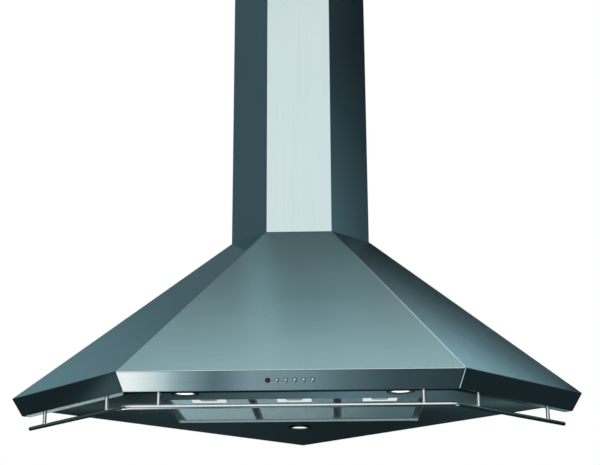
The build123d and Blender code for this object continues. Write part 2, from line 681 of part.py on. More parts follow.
with BuildPart() as rail_posts:
    with BuildSketch():
        with Locations(*LEFT_POSTS, *RIGHT_POSTS):
            Circle(POST_DIAMETER / 2)
    extrude(amount=-RAIL_DROP)
    with BuildSketch():
        with Locations(*LEFT_POSTS, *RIGHT_POSTS):
            Circle(SCREW_RADIUS)
    extrude(amount=SHEET + NUT_HEIGHT + SCREW_RADIUS)
    with BuildLine(Plane.XY.offset(-RAIL_DROP)) as cope_line:
        FilletPolyline(*rail_points, radius=RAIL_BEND)
    with BuildSketch(Plane(cope_line.line @ 0, z_dir=cope_line.line % 0)):
        Circle(RAIL_DIAMETER / 2 + POST_COPE_GAP)
    sweep(path=cope_line.line, mode=Mode.SUBTRACT)
save(rail_posts, "rail_posts")

with BuildPart() as rail_nuts:
    with BuildSketch(Plane.XY.offset(SHEET)):
        with Locations(*LEFT_POSTS, *RIGHT_POSTS):
            RegularPolygon(NUT_FLATS / 2, 6, major_radius=False)
            Circle(SCREW_HOLE, mode=Mode.SUBTRACT)
    extrude(amount=NUT_HEIGHT)
save(rail_nuts, "rail_nuts")

# Switch block behind the fascia, its push buttons and the indicator
with BuildPart() as switch_block:
    block_width = CONTROL_PLACES[-1] - CONTROL_PLACES[0] + 2 * SWITCH_MARGIN
    with BuildSketch(FASCIA_PLANE.offset(-SHEET)):
        Rectangle(block_width, SWITCH_HEIGHT)
    extrude(amount=STEM_END - BUTTON_TRAVEL - SWITCH_BACK + SHEET)
    with BuildSketch(FASCIA_PLANE.offset(-SHEET)):
        with Locations(*[(place, 0) for place in BUTTON_PLACES]):
            Circle(SHOULDER_RADIUS + BUTTON_GAP)
    extrude(amount=STEM_TOP - BUTTON_TRAVEL - SEAT_GAP + SHEET, mode=Mode.SUBTRACT)
    with BuildSketch(FASCIA_PLANE.offset(-SHEET)):
        with Locations(*[(place, 0) for place in BUTTON_PLACES]):
            Circle(STEM_RADIUS + STEM_GAP)
    extrude(amount=STEM_END - BUTTON_TRAVEL - SEAT_GAP + SHEET, mode=Mode.SUBTRACT)
    with BuildSketch(FASCIA_PLANE.offset(-SHEET)):
        with Locations((INDICATOR_PLACE, 0)):
            Circle(INDICATOR_RADIUS)
    extrude(amount=-INDICATOR_DEPTH - SEAT_GAP, mode=Mode.SUBTRACT)
save(switch_block, "switch_block")

for button_name, place in zip(BUTTON_NAMES, BUTTON_PLACES):
    with BuildPart() as button:
        with BuildSketch(FASCIA_PLANE.offset(STEM_END)):
            with Locations((place, 0)):
                Circle(STEM_RADIUS)
        extrude(amount=STEM_LENGTH)
        with BuildSketch(FASCIA_PLANE.offset(STEM_TOP)):
            with Locations((place, 0)):
                Circle(SHOULDER_RADIUS)
        extrude(amount=SHOULDER_THICKNESS)
        with BuildSketch(FASCIA_PLANE.offset(SHOULDER_TOP)):
            with Locations((place, 0)):
                Circle(BUTTON_RADIUS)
        extrude(amount=BUTTON_PROUD - SHOULDER_TOP)
        fillet(button.faces().sort_by(FASCIA_AXIS)[-1].edges(), radius=BUTTON_ROUND)
    save(button, f"button_{button_name}")

with BuildPart() as indicator_bezel:
    bezel_bore = INDICATOR_LENS_RADIUS + INDICATOR_GAP
    with BuildSketch(FASCIA_PLANE):
        with Locations((INDICATOR_PLACE, 0)):
            Circle(INDICATOR_RADIUS)
            Circle(bezel_bore, mode=Mode.SUBTRACT)
    extrude(amount=INDICATOR_PROUD)
    chamfer_face = indicator_bezel.faces().sort_by(FASCIA_AXIS)[-1]
    chamfer(chamfer_face.edges().sort_by(SortBy.LENGTH)[-1], length=INDICATOR_PROUD / 2)
    with BuildSketch(FASCIA_PLANE):
        with Locations((INDICATOR_PLACE, 0)):
            Circle(bezel_bore + INDICATOR_WALL)
            Circle(bezel_bore, mode=Mode.SUBTRACT)
    extrude(amount=-SHEET - INDICATOR_DEPTH / 2)
save(indicator_bezel, "indicator_bezel")

with BuildPart() as indicator_lens:
    with BuildSketch(FASCIA_PLANE.offset(-SHEET - INDICATOR_DEPTH)):
        with Locations((INDICATOR_PLACE, 0)):
            Circle(INDICATOR_LENS_RADIUS)
    extrude(amount=SHEET + INDICATOR_DEPTH + INDICATOR_PROUD)
    lens_face = indicator_lens.faces().sort_by(FASCIA_AXIS)[-1]
    fillet(lens_face.edges(), radius=INDICATOR_PROUD)
save(indicator_lens, "indicator_lens")

# Outlet collar on the top plate, with two damper flaps that lift as air leaves
with BuildPart() as outlet_collar:
    with BuildSketch(Plane.XY.offset(PLATE_TOP)):
        with Locations(DUCT_CENTRE):
            Circle(DUCT_RADIUS + COLLAR_FLANGE)
            Circle(COLLAR_BORE, mode=Mode.SUBTRACT)
            with PolarLocations(COLLAR_SCREW_CIRCLE, COLLAR_SCREW_COUNT, start_angle=COLLAR_SCREW_ANGLE):
                Circle(SCREW_HOLE, mode=Mode.SUBTRACT)
    extrude(amount=COLLAR_WALL)
    with BuildSketch(Plane.XY.offset(PLATE_TOP)):
        with Locations(DUCT_CENTRE):
            Circle(DUCT_RADIUS)
            Circle(COLLAR_BORE, mode=Mode.SUBTRACT)
    extrude(amount=COLLAR_HEIGHT)
    with BuildSketch(Plane.XY.offset(FLAP_Z - FLAP_THICKNESS / 2 - SEAT_GAP)):
        with Locations(DUCT_CENTRE):
            Circle(COLLAR_BORE)
            Circle(COLLAR_BORE - FLAP_STOP_WIDTH, mode=Mode.SUBTRACT)
            Rectangle(2 * DUCT_RADIUS, 2 * (FLAP_OFFSET + 2 * FLAP_BAR_RADIUS), mode=Mode.SUBTRACT)
    extrude(amount=-FLAP_STOP_HEIGHT)
    with BuildSketch(Plane.YZ):
        with Locations((DUCT_CENTRE[1] - FLAP_OFFSET, FLAP_Z), (DUCT_CENTRE[1] + FLAP_OFFSET, FLAP_Z)):
            Circle(FLAP_PIN_RADIUS + FLAP_PIN_GAP)
    extrude(amount=DUCT_RADIUS, both=True, mode=Mode.SUBTRACT)
save(outlet_collar, "outlet_collar")


def build_flap(name, side):
    """Half-round damper flap. Side is -1 for the front half and 1 for the rear half."""
    pivot_y = DUCT_CENTRE[1] + side * FLAP_OFFSET
    flap_radius = COLLAR_BORE - FLAP_EDGE_GAP
    bar_half = sqrt(COLLAR_BORE**2 - (FLAP_OFFSET + FLAP_BAR_RADIUS) ** 2) - FLAP_EDGE_GAP
    pin_half = sqrt(DUCT_RADIUS**2 - (FLAP_OFFSET + FLAP_PIN_RADIUS) ** 2) - SEAT_GAP
    with BuildPart() as flap:
        with BuildSketch(Plane.XY.offset(FLAP_Z - FLAP_THICKNESS / 2)):
            with Locations(DUCT_CENTRE):
                Circle(flap_radius)
            with Locations((0, pivot_y + side * DUCT_RADIUS)):
                Rectangle(2 * (bar_half - FLAP_EDGE_GAP), 2 * DUCT_RADIUS, mode=Mode.INTERSECT)
        extrude(amount=FLAP_THICKNESS)
        for radius, half in ((FLAP_BAR_RADIUS, bar_half), (FLAP_PIN_RADIUS, pin_half)):
            with BuildSketch(Plane.YZ):
                with Locations((pivot_y, FLAP_Z)):
                    Circle(radius)
            extrude(amount=half, both=True)
    save(flap, name)


build_flap("damper_flap_front", -1)
build_flap("damper_flap_rear", 1)

with BuildPart() as collar_screws:
    for radius, start, length in (
        (SCREW_HEAD_RADIUS, PLATE_TOP + COLLAR_WALL, SCREW_HEAD_HEIGHT),
        (SCREW_RADIUS, PLATE_TOP + COLLAR_WALL, -COLLAR_WALL - SHEET - SCROLL_WALL - SCREW_TAIL),
    ):
        with BuildSketch(Plane.XY.offset(start)):
            with Locations(DUCT_CENTRE):
                with PolarLocations(COLLAR_SCREW_CIRCLE, COLLAR_SCREW_COUNT, start_angle=COLLAR_SCREW_ANGLE):
                    Circle(radius)
        extrude(amount=length)
save(collar_screws, "collar_screws")


def volute_outline(grow, top):
    """Scroll outline in the YZ plane: quarter arcs that widen by a step, then a straight throat."""
    radius = VOLUTE_START + grow
    tongue = TONGUE_REACH - grow
    tongue_rise = sqrt(radius**2 - tongue**2)
    outer_y = FAN_Y + radius + 3 * VOLUTE_STEP
    first = CenterArc((FAN_Y, FAN_HEIGHT), radius, 90, 90)
    CenterArc((FAN_Y + VOLUTE_STEP, FAN_HEIGHT), radius + VOLUTE_STEP, 180, 90)
    third = CenterArc((FAN_Y + VOLUTE_STEP, FAN_HEIGHT + VOLUTE_STEP), radius + 2 * VOLUTE_STEP, 270, 90)
    tongue_point = (FAN_Y + tongue, FAN_HEIGHT + tongue_rise)
    TangentArc(first @ 0, tongue_point, tangent=(1, 0))
    Polyline(tongue_point, (FAN_Y + tongue, top), (outer_y, top), third @ 1)


# Fan: two scroll halves, a motor held in one inlet, and the wheel on its shaft
with BuildPart() as scroll_left:
    with BuildSketch(Plane.YZ.offset(-SCROLL_HALF_WIDTH)):
        with BuildLine():
            volute_outline(SCROLL_WALL, PLATE_BOTTOM)
        make_face()
    extrude(amount=SCROLL_HALF_WIDTH)
    with BuildSketch(Plane.XY.offset(PLATE_BOTTOM)):
        with Locations(DUCT_CENTRE):
            flange_width = 2 * (SCROLL_HALF_WIDTH + SCROLL_FLANGE)
            flange_depth = THROAT_WIDTH + 2 * SCROLL_FLANGE
            Rectangle(flange_width, flange_depth)
            with PolarLocations(COLLAR_SCREW_CIRCLE, COLLAR_SCREW_COUNT, start_angle=COLLAR_SCREW_ANGLE):
                Circle(SCREW_HOLE, mode=Mode.SUBTRACT)
        with Locations((SCROLL_HALF_WIDTH + SCROLL_FLANGE, DUCT_CENTRE[1])):
            Rectangle(flange_width, flange_depth, mode=Mode.SUBTRACT)
    extrude(amount=-SCROLL_WALL)
    with BuildSketch(Plane.YZ.offset(SCROLL_WALL - SCROLL_HALF_WIDTH)):
        with BuildLine():
            volute_outline(0, PLATE_TOP)
        make_face()
    extrude(amount=SCROLL_HALF_WIDTH, mode=Mode.SUBTRACT)
    with BuildSketch(Plane.YZ.offset(-SCROLL_HALF_WIDTH)):
        with Locations((FAN_Y, FAN_HEIGHT)):
            Circle(INLET_RADIUS)
    extrude(amount=SCROLL_WALL, mode=Mode.SUBTRACT)
save(scroll_left, "scroll_left")

with BuildPart() as scroll_right:
    mirror(scroll_left.part, about=Plane.YZ)
save(scroll_right, "scroll_right")

with BuildPart() as fan_shaft:
    with BuildSketch(Plane.YZ.offset(-HUB_LENGTH / 2)):
        with Locations((FAN_Y, FAN_HEIGHT)):
            Circle(SHAFT_RADIUS)
    extrude(amount=HUB_LENGTH / 2 + MOTOR_START + MOTOR_LENGTH + SHAFT_RADIUS)
save(fan_shaft, "fan_shaft")

with BuildPart() as fan_wheel:
    for radius, half in ((WHEEL_RADIUS - WHEEL_RING / 2, WHEEL_PLATE / 2), (HUB_RADIUS, HUB_LENGTH / 2)):
        with BuildSketch(Plane.YZ):
            with Locations((FAN_Y, FAN_HEIGHT)):
                Circle(radius)
        extrude(amount=half, both=True)
    with BuildSketch(Plane.YZ):
        with Locations((FAN_Y, FAN_HEIGHT)):
            with PolarLocations(WHEEL_RADIUS - WHEEL_RING / 2, BLADE_COUNT):
                Rectangle(WHEEL_RING, BLADE_THICKNESS)
    extrude(amount=WHEEL_WIDTH / 2, both=True)
    for side in (-1, 1):
        with BuildSketch(Plane.YZ.offset(side * WHEEL_WIDTH / 2)):
            with Locations((FAN_Y, FAN_HEIGHT)):
                Circle(WHEEL_RADIUS + BLADE_THICKNESS)
                Circle(WHEEL_RADIUS - WHEEL_RING - BLADE_THICKNESS, mode=Mode.SUBTRACT)
        extrude(amount=side * WHEEL_PLATE)
    with BuildSketch(Plane.YZ):
        with Locations((FAN_Y, FAN_HEIGHT)):
            Circle(SHAFT_RADIUS + SHAFT_GAP)
    extrude(amount=HUB_LENGTH, both=True, mode=Mode.SUBTRACT)
save(fan_wheel, "fan_wheel")

with BuildPart() as fan_motor:
    with BuildSketch(Plane.YZ.offset(MOTOR_START)):
        with Locations((FAN_Y, FAN_HEIGHT)):
            Circle(MOTOR_RADIUS)
    extrude(amount=MOTOR_LENGTH)
    fillet(fan_motor.edges().filter_by(GeomType.CIRCLE), radius=MOTOR_ROUND)
    with BuildSketch(Plane.YZ.offset(MOTOR_START)):
        with Locations((FAN_Y, FAN_HEIGHT)):
            Circle(SHAFT_RADIUS + SHAFT_GAP)
    extrude(amount=MOTOR_LENGTH, mode=Mode.SUBTRACT)
save(fan_motor, "fan_motor")

with BuildPart() as motor_bracket:
    clamp_bore = MOTOR_RADIUS + CLAMP_GAP
    with BuildSketch(Plane.YZ.offset(SCROLL_HALF_WIDTH)):
        with Locations((FAN_Y, FAN_HEIGHT)):
            Circle(INLET_RADIUS + BRACKET_RIM)
            Circle(INLET_RADIUS, mode=Mode.SUBTRACT)
            arm_end = INLET_RADIUS + CLAMP_WALL
            with PolarLocations((clamp_bore + arm_end) / 2, BRACKET_ARM_COUNT, start_angle=90):
                Rectangle(arm_end - clamp_bore, BRACKET_ARM)
            Circle(clamp_bore, mode=Mode.SUBTRACT)
    extrude(amount=BRACKET_SHEET)
    with BuildSketch(Plane.YZ.offset(SCROLL_HALF_WIDTH)):
        with Locations((FAN_Y, FAN_HEIGHT)):
            Circle(clamp_bore + CLAMP_WALL)
            Circle(clamp_bore, mode=Mode.SUBTRACT)
    extrude(amount=CLAMP_LENGTH)
save(motor_bracket, "motor_bracket")

# Electrical pieces screwed to the inside of the wall panels
with BuildPart() as terminal_box:
    with BuildSketch(wall_plane(-1, SHEET)):
        with Locations((wall_x(-1, BOX_RUN), BOX_LEVEL)):
            RectangleRounded(BOX_WIDTH, BOX_HEIGHT, BOX_CORNER)
    extrude(amount=-BOX_DEPTH)
    with BuildSketch(wall_plane(-1, SHEET + BOX_WALL)):
        with Locations((wall_x(-1, BOX_RUN), BOX_LEVEL)):
            RectangleRounded(BOX_WIDTH - 2 * BOX_WALL, BOX_HEIGHT - 2 * BOX_WALL, BOX_CORNER - BOX_WALL)
    extrude(amount=-BOX_DEPTH, mode=Mode.SUBTRACT)
    gland_place = (*wall_point(BOX_RUN, SHEET + BOX_DEPTH / 2), BOX_LEVEL + BOX_HEIGHT / 2)
    with BuildSketch(Plane(gland_place)):
        Circle(GLAND_THREAD + GLAND_GAP)
    extrude(amount=-BOX_WALL, mode=Mode.SUBTRACT)
save(terminal_box, "terminal_box")

with BuildPart() as terminal_box_lid:
    with BuildSketch(wall_plane(-1, SHEET + BOX_DEPTH)):
        with Locations((wall_x(-1, BOX_RUN), BOX_LEVEL)):
            RectangleRounded(BOX_WIDTH, BOX_HEIGHT, BOX_CORNER)
    extrude(amount=-LID_THICKNESS)
save(terminal_box_lid, "terminal_box_lid")

with BuildPart() as cable_gland:
    with BuildSketch(Plane(gland_place)):
        RegularPolygon(GLAND_RADIUS, 6, major_radius=False)
    extrude(amount=GLAND_HEIGHT)
    with BuildSketch(Plane(gland_place)):
        Circle(GLAND_THREAD)
    extrude(amount=-2 * BOX_WALL)
    with BuildSketch(Plane(gland_place).offset(-2 * BOX_WALL)):
        Circle(GLAND_BORE)
    extrude(amount=GLAND_HEIGHT + 2 * BOX_WALL, mode=Mode.SUBTRACT)
save(cable_gland, "cable_gland")

with BuildPart() as capacitor:
    with BuildSketch(wall_plane(-1, SHEET)):
        with Locations((wall_x(-1, CAPACITOR_RUN), CAPACITOR_LEVEL)):
            Circle(CAPACITOR_RADIUS)
    extrude(amount=-CAPACITOR_LENGTH)
    fillet(capacitor.edges().filter_by(GeomType.CIRCLE), radius=CAPACITOR_ROUND)
save(capacitor, "capacitor")

with BuildPart() as lamp_transformer:
    with BuildSketch(wall_plane(1, SHEET)):
        with Locations((wall_x(1, TRANSFORMER_RUN), TRANSFORMER_LEVEL)):
            RectangleRounded(TRANSFORMER_WIDTH, TRANSFORMER_HEIGHT, TRANSFORMER_ROUND)
    extrude(amount=-TRANSFORMER_DEPTH)
save(lamp_transformer, "lamp_transformer")


def chimney_section(inset, gap, bottom):
    """Folded chimney sheet in plan: front, two sides and a return along each wall."""
    outline = plan_points(inset, gap)[1:]
    return_end = wall_point(WALL_RUN - inset - CHIMNEY_RETURN, gap)
    with BuildSketch(Plane.XY.offset(bottom)) as sketch:
        with BuildLine():
            FilletPolyline(return_end, *outline, mirrored(return_end), radius=FOLD_RADIUS)
            offset(amount=SHEET, side=Side.LEFT)
        make_face()
    return sketch.sketch


# Chimney: a lower sleeve on the canopy and an upper sleeve that slides up inside it
with BuildPart() as lower_chimney:
    extrude(chimney_section(CHIMNEY_INSET, 0, CANOPY_TOP), amount=LOWER_CHIMNEY_HEIGHT)
save(lower_chimney, "lower_chimney")

with BuildPart() as upper_chimney:
    upper_inset = CHIMNEY_INSET + SLEEVE_STEP
    upper_bottom = CANOPY_TOP + SEAT_GAP
    upper_section = chimney_section(upper_inset, SLEEVE_STEP, upper_bottom)
    extrude(upper_section, amount=UPPER_CHIMNEY_TOP - upper_bottom)
    upper_points = plan_points(upper_inset, SLEEVE_STEP)
    for side in (-1, 1):
        slot_x = side * (upper_points[4][0] + upper_points[3][0]) / 2
        slot_y = (upper_points[4][1] + upper_points[3][1]) / 2
        vent_drop = VENT_TOP_MARGIN + VENT_SLOT_PITCH * (VENT_SLOT_COUNT - 1) / 2
        slot_centre = (slot_x, slot_y, UPPER_CHIMNEY_TOP - vent_drop)
        with BuildSketch(Plane(slot_centre, x_dir=(-side, -1, 0), z_dir=(side, -1, 0))):
            with GridLocations(0, VENT_SLOT_PITCH, 1, VENT_SLOT_COUNT):
                SlotOverall(VENT_SLOT_LENGTH, VENT_SLOT_WIDTH)
        extrude(amount=2 * SHEET, both=True, mode=Mode.SUBTRACT)
save(upper_chimney, "upper_chimney")

with BuildPart() as chimney_wall_bracket:
    bracket_top = UPPER_CHIMNEY_TOP - BRACKET_TOP_MARGIN
    bracket_run = WALL_RUN - upper_inset
    with BuildSketch(Plane.XY.offset(bracket_top)):
        with BuildLine():
            wall_end = wall_point(bracket_run, 0)
            inner_end = wall_point(bracket_run, SLEEVE_STEP)
            inner_corner = (0, -SLEEVE_STEP * ROOT2)
            Polyline(
                (0, 0), wall_end, inner_end, inner_corner, mirrored(inner_end), mirrored(wall_end), close=True
            )
        make_face()
    extrude(amount=-BRACKET_HEIGHT)
    hole_height = bracket_top - BRACKET_HEIGHT / 2
    for side in (-1, 1):
        with BuildSketch(wall_plane(side)):
            with Locations(*[(wall_x(side, run), hole_height) for run in BRACKET_HOLE_RUNS]):
                Circle(BRACKET_HOLE_RADIUS)
        extrude(amount=-2 * SLEEVE_STEP, mode=Mode.SUBTRACT)
save(chimney_wall_bracket, "chimney_wall_bracket")
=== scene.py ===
# %% [markdown]
# A corner range hood for the meeting of two walls: a folded steel canopy, a two-part chimney, three
# grease filters, lamps, push buttons and a utensil rail. The CAD pieces come in as a fixed frame and
# keep their places. This file gives them their finishes, and it models the expanded metal in the
# filters again, because a solid with thousands of strands would be far too heavy.

# %% Load the hood
import math

import bpy
from mathutils import Matrix, Vector


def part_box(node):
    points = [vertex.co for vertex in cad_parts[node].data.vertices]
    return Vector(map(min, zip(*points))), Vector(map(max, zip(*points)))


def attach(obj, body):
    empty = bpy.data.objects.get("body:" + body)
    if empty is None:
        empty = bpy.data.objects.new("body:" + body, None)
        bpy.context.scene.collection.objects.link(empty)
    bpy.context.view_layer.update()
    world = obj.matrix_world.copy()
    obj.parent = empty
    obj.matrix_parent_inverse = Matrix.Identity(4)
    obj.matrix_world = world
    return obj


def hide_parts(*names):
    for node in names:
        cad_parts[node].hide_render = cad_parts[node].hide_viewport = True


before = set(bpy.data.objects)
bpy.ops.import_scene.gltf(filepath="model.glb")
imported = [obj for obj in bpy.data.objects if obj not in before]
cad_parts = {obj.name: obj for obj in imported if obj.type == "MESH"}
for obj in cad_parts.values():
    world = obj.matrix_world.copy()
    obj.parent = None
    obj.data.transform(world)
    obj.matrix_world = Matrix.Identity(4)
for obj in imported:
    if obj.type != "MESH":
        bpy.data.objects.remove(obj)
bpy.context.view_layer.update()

MM = 0.001

# %% [markdown]
# The photograph was taken from below and well back, so the underside shows and the chimney runs out
# of the picture. A constraint could aim the camera at the hood, but it couldn't give the slight lean
# to one side, so the camera is built from its place and three turns. A small upward shift of the
# frame keeps the chimney nearly upright without losing the hood in views from other sides.

# %% Camera
IMAGE_WIDTH = 600  # pixels
FOCAL_PIXELS = 1145.4
SENSOR_WIDTH = 36  # mm, as on full-frame film
FRAME_SHIFT = 0.08  # in frame widths
CAMERA_PLACE = (0.0984, -3.5113, -0.4836)
YAW, PITCH, ROLL = -0.0302, 0.2852, -0.0047

ahead = Vector(
    (math.sin(YAW) * math.cos(PITCH), math.cos(YAW) * math.cos(PITCH), math.sin(PITCH)))
level = Vector((math.cos(YAW), -math.sin(YAW), 0))
above = level.cross(ahead)
right = level * math.cos(ROLL) + above * math.sin(ROLL)
up = above * math.cos(ROLL) - level * math.sin(ROLL)

camera_data = bpy.data.cameras.new("camera")
camera_data.sensor_width = SENSOR_WIDTH
camera_data.lens = FOCAL_PIXELS * SENSOR_WIDTH / IMAGE_WIDTH
camera_data.shift_y = FRAME_SHIFT
camera = bpy.data.objects.new("camera", camera_data)
camera.matrix_world = Matrix((right, up, -ahead)).transposed().to_4x4()
camera.location = CAMERA_PLACE
bpy.context.scene.collection.objects.link(camera)
bpy.context.scene.camera = camera
bpy.context.scene.view_settings.view_transform = "Standard"
print("lens", round(camera_data.lens, 2), "mm")

# %% [markdown]
# Every finish below is a small tree of shader nodes. Writing each node as one call of one function
# keeps a tree readable: the call names the node, what goes into its sockets and its settings.
# Colours are written as sRGB hex values, as in a paint program, and turned to linear light once.

# %% Helpers for node trees
def linear(code):
    """Turn an sRGB hex colour into the linear RGBA that shaders work in."""
    channels = [int(code[start:start + 2], 16) / 255 for start in (1, 3, 5)]
    straight = [c / 12.92 if c <= 0.04045 else ((c + 0.055) / 1.055) ** 2.4 for c in channels]
    return (*straight, 1.0)


def add(tree, kind, inputs=None, stops=None, **settings):
    """Add a node with its inputs, a ramp's stops and its settings.

    Inputs are values or other nodes' outputs. Stops are (place, colour) pairs, from low to high."""
    node = tree.nodes.new(kind)
    for name, value in settings.items():
        setattr(node, name, value)
    for socket, value in (inputs or {}).items():
        if isinstance(value, bpy.types.NodeSocket):
            tree.links.new(value, node.inputs[socket])
        else:
            node.inputs[socket].default_value = value
    for index, (place, code) in enumerate(stops or []):
        points = node.color_ramp.elements
        point = points[index] if index < len(points) else points.new(place)
        point.position = place
        point.color = linear(code) if isinstance(code, str) else code
    return node


def new_material(name):
    """A material with an empty node tree, and that tree."""
    material = bpy.data.materials.new(name)
    material.use_nodes = True
    material.node_tree.nodes.clear()
    return material, material.node_tree


print("white is", linear("#FFFFFF"))

# %% [markdown]
# The hood hangs in plain white, as in the photograph. One white background could light everything,
# but then the light on the hood couldn't be set without changing the white behind it. So the camera,
# metal and glass see one background, and every other ray gets its light from a second one.

# %% World
AMBIENT = 1.0  # what lights the hood
BACKDROP = 1.0  # what is seen, where 1 is white

world = bpy.data.worlds.new("studio")
world.use_nodes = True
world.node_tree.nodes.clear()
bpy.context.scene.world = world
tree = world.node_tree
path = add(tree, "ShaderNodeLightPath")
seen = add(tree, "ShaderNodeMath",
           {0: path.outputs["Is Camera Ray"], 1: path.outputs["Is Glossy Ray"]},
           operation="MAXIMUM")
seen = add(tree, "ShaderNodeMath",
           {0: seen.outputs[0], 1: path.outputs["Is Transmission Ray"]},
           operation="MAXIMUM")
ambient = add(tree, "ShaderNodeBackground", {"Color": linear("#FFFFFF"), "Strength": AMBIENT})
surround = add(tree, "ShaderNodeBackground", {"Color": linear("#FFFFFF"), "Strength": BACKDROP})
either = add(tree, "ShaderNodeMixShader",
             {0: seen.outputs[0], 1: ambient.outputs[0], 2: surround.outputs[0]})
add(tree, "ShaderNodeOutputWorld", {"Surface": either.outputs[0]})
print("ambient light", AMBIENT)

# %% [markdown]
# The floor is pale matt paint, as far below the hood as a kitchen floor. A real studio would curve a
# paper roll up behind the hood, but that would stand in the way of views from behind. A flat floor so
# large that its far edge is the horizon shows no edge or corner in any view.

# %% Floor
FLOOR_HEIGHT = -1.6
FLOOR_SIZE = 400
FLOOR_MOTTLE = 500 * MM

bpy.ops.object.select_all(action="DESELECT")
bpy.ops.mesh.primitive_plane_add(size=FLOOR_SIZE, location=(0, 0, FLOOR_HEIGHT))
floor = bpy.context.object
floor.name = "floor"
# Matt paint: no shine, and a mottle so faint that it only keeps the floor from looking empty.
material, tree = new_material("pale floor paint")
coords = add(tree, "ShaderNodeTexCoord")
mottle = add(tree, "ShaderNodeTexNoise",
             {"Vector": coords.outputs["Object"], "Scale": 1 / FLOOR_MOTTLE, "Detail": 3.0})
tone = add(tree, "ShaderNodeValToRGB", {"Fac": mottle.outputs[0]},
           [(0.3, "#ECEEEE"), (0.7, "#F1F3F3")])
paint = add(tree, "ShaderNodeBsdfPrincipled",
            {"Base Color": tone.outputs[0], "Roughness": 0.8})
add(tree, "ShaderNodeOutputMaterial", {"Surface": paint.outputs[0]})
floor.data.materials.append(material)
print("floor at", FLOOR_HEIGHT, "m")

# %% [markdown]
# One lamp hangs above the hood, a little in front and to the left. A small lamp would draw hard
# shadows, so it is as large as a studio softbox. It is hidden from glossy rays: its bright rectangle
# would show in the steel, where the cards of the next cells make the reflections.

# %% Lamp
LAMP_SIZE = (3.0, 2.0)
LAMP_POWER = 45  # W
LAMP_PLACE = Vector((-0.8, -1.6, 3.4))
LAMP_TARGET = Vector((0, -0.4, 0.5))

lamp_data = bpy.data.lights.new("top light", "AREA")
lamp_data.shape = "RECTANGLE"
lamp_data.size, lamp_data.size_y = LAMP_SIZE
lamp_data.energy = LAMP_POWER
top_light = bpy.data.objects.new("top light", lamp_data)
top_light.location = LAMP_PLACE
top_light.rotation_euler = (LAMP_TARGET - LAMP_PLACE).to_track_quat("-Z", "Y").to_euler()
top_light.visible_glossy = False
bpy.context.scene.collection.objects.link(top_light)
print("lamp", lamp_data.energy, "W")

# %% [markdown]
# Polished and brushed steel has little colour of its own: it shows what stands around it. A studio
# photographer shapes it with cards, dark ones for depth and graded ones for a sheen that fades along
# a sheet. A picture of a studio on the world could do it too, but it would be a file from outside and
# equally far away on all sides. These cards stand in real places, as the photographer's do. They are
# there for reflections only, so they shade no floor and stand in no view.

# %% A card
WHITE = Vector((1, 1, 1))
TEAL = Vector((0.58, 1.0, 1.15))
SKY = Vector((0.70, 1.0, 1.06))


def graded(hue, steps, fade=0.0):
    """Turn (distance, light level) pairs into colours of a hue that fades to white with light."""
    tints = [(distance, hue.lerp(WHITE, fade * level) * level) for distance, level in steps]
    return [(distance, (*[min(channel, 1.0) for channel in tint], 1.0)) for distance, tint in tints]


def to_white(hue, level, length):
    """One tone at the card's first edge that runs to white at its far edge."""
    return graded(hue, [(0, level)]) + graded(WHITE, [(length, 1)])


def card(name, corner, across, upward, tones, shares, strength=1.0):
    """A flat card from a corner and two edges: tones graded up it, times shares graded across it.

    Tones and shares give their distances in metres from the corner."""
    bpy.ops.object.select_all(action="DESELECT")
    bpy.ops.mesh.primitive_plane_add(size=1)
    piece = bpy.context.object
    piece.name = name
    across, upward = Vector(across), Vector(upward)
    middle = Vector(corner) + (across + upward) / 2
    facing = across.cross(upward).normalized()
    turn = Matrix((across.normalized(), upward.normalized(), facing)).transposed()
    piece.matrix_world = Matrix.LocRotScale(
        middle, turn.to_quaternion(), Vector((across.length, upward.length, 1)))

    material, tree = new_material(name)
    coords = add(tree, "ShaderNodeTexCoord")
    from_corner = add(tree, "ShaderNodeMapping",
                      {"Vector": coords.outputs["Object"], "Location": (-0.5, -0.5, 0)},
                      vector_type="TEXTURE")
    split = add(tree, "ShaderNodeSeparateXYZ", {0: from_corner.outputs[0]})
    tone = add(tree, "ShaderNodeValToRGB", {"Fac": split.outputs["Y"]},
               [(height / upward.length, colour) for height, colour in tones])
    share = add(tree, "ShaderNodeValToRGB", {"Fac": split.outputs["X"]},
                [(reach / across.length, colour) for reach, colour in shares])
    mixed = add(tree, "ShaderNodeMix",
                {"Factor": 1.0, "A": tone.outputs[0], "B": share.outputs[0]},
                data_type="RGBA", blend_type="MULTIPLY")
    glow = add(tree, "ShaderNodeEmission",
               {"Color": mixed.outputs["Result"], "Strength": strength})
    add(tree, "ShaderNodeOutputMaterial", {"Surface": glow.outputs[0]})
    material.cycles.emission_sampling = "NONE"
    piece.data.materials.append(material)

    for ray in ("camera", "diffuse", "transmission", "volume_scatter", "shadow"):
        setattr(piece, f"visible_{ray}", False)
    return piece


EVEN = graded(WHITE, [(0, 1), (0.01, 1)])
print("teal is", [round(channel, 2) for channel in TEAL])

# %% [markdown]
# Seen from below, the canopy's side slopes mirror what is behind the hood, and the chimney's turned
# sides mirror what is beside it. The chimney's front, the rail and its posts mirror the room in front.
# The cards are graded, so a flat sheet that mirrors one still changes its tone along its length.

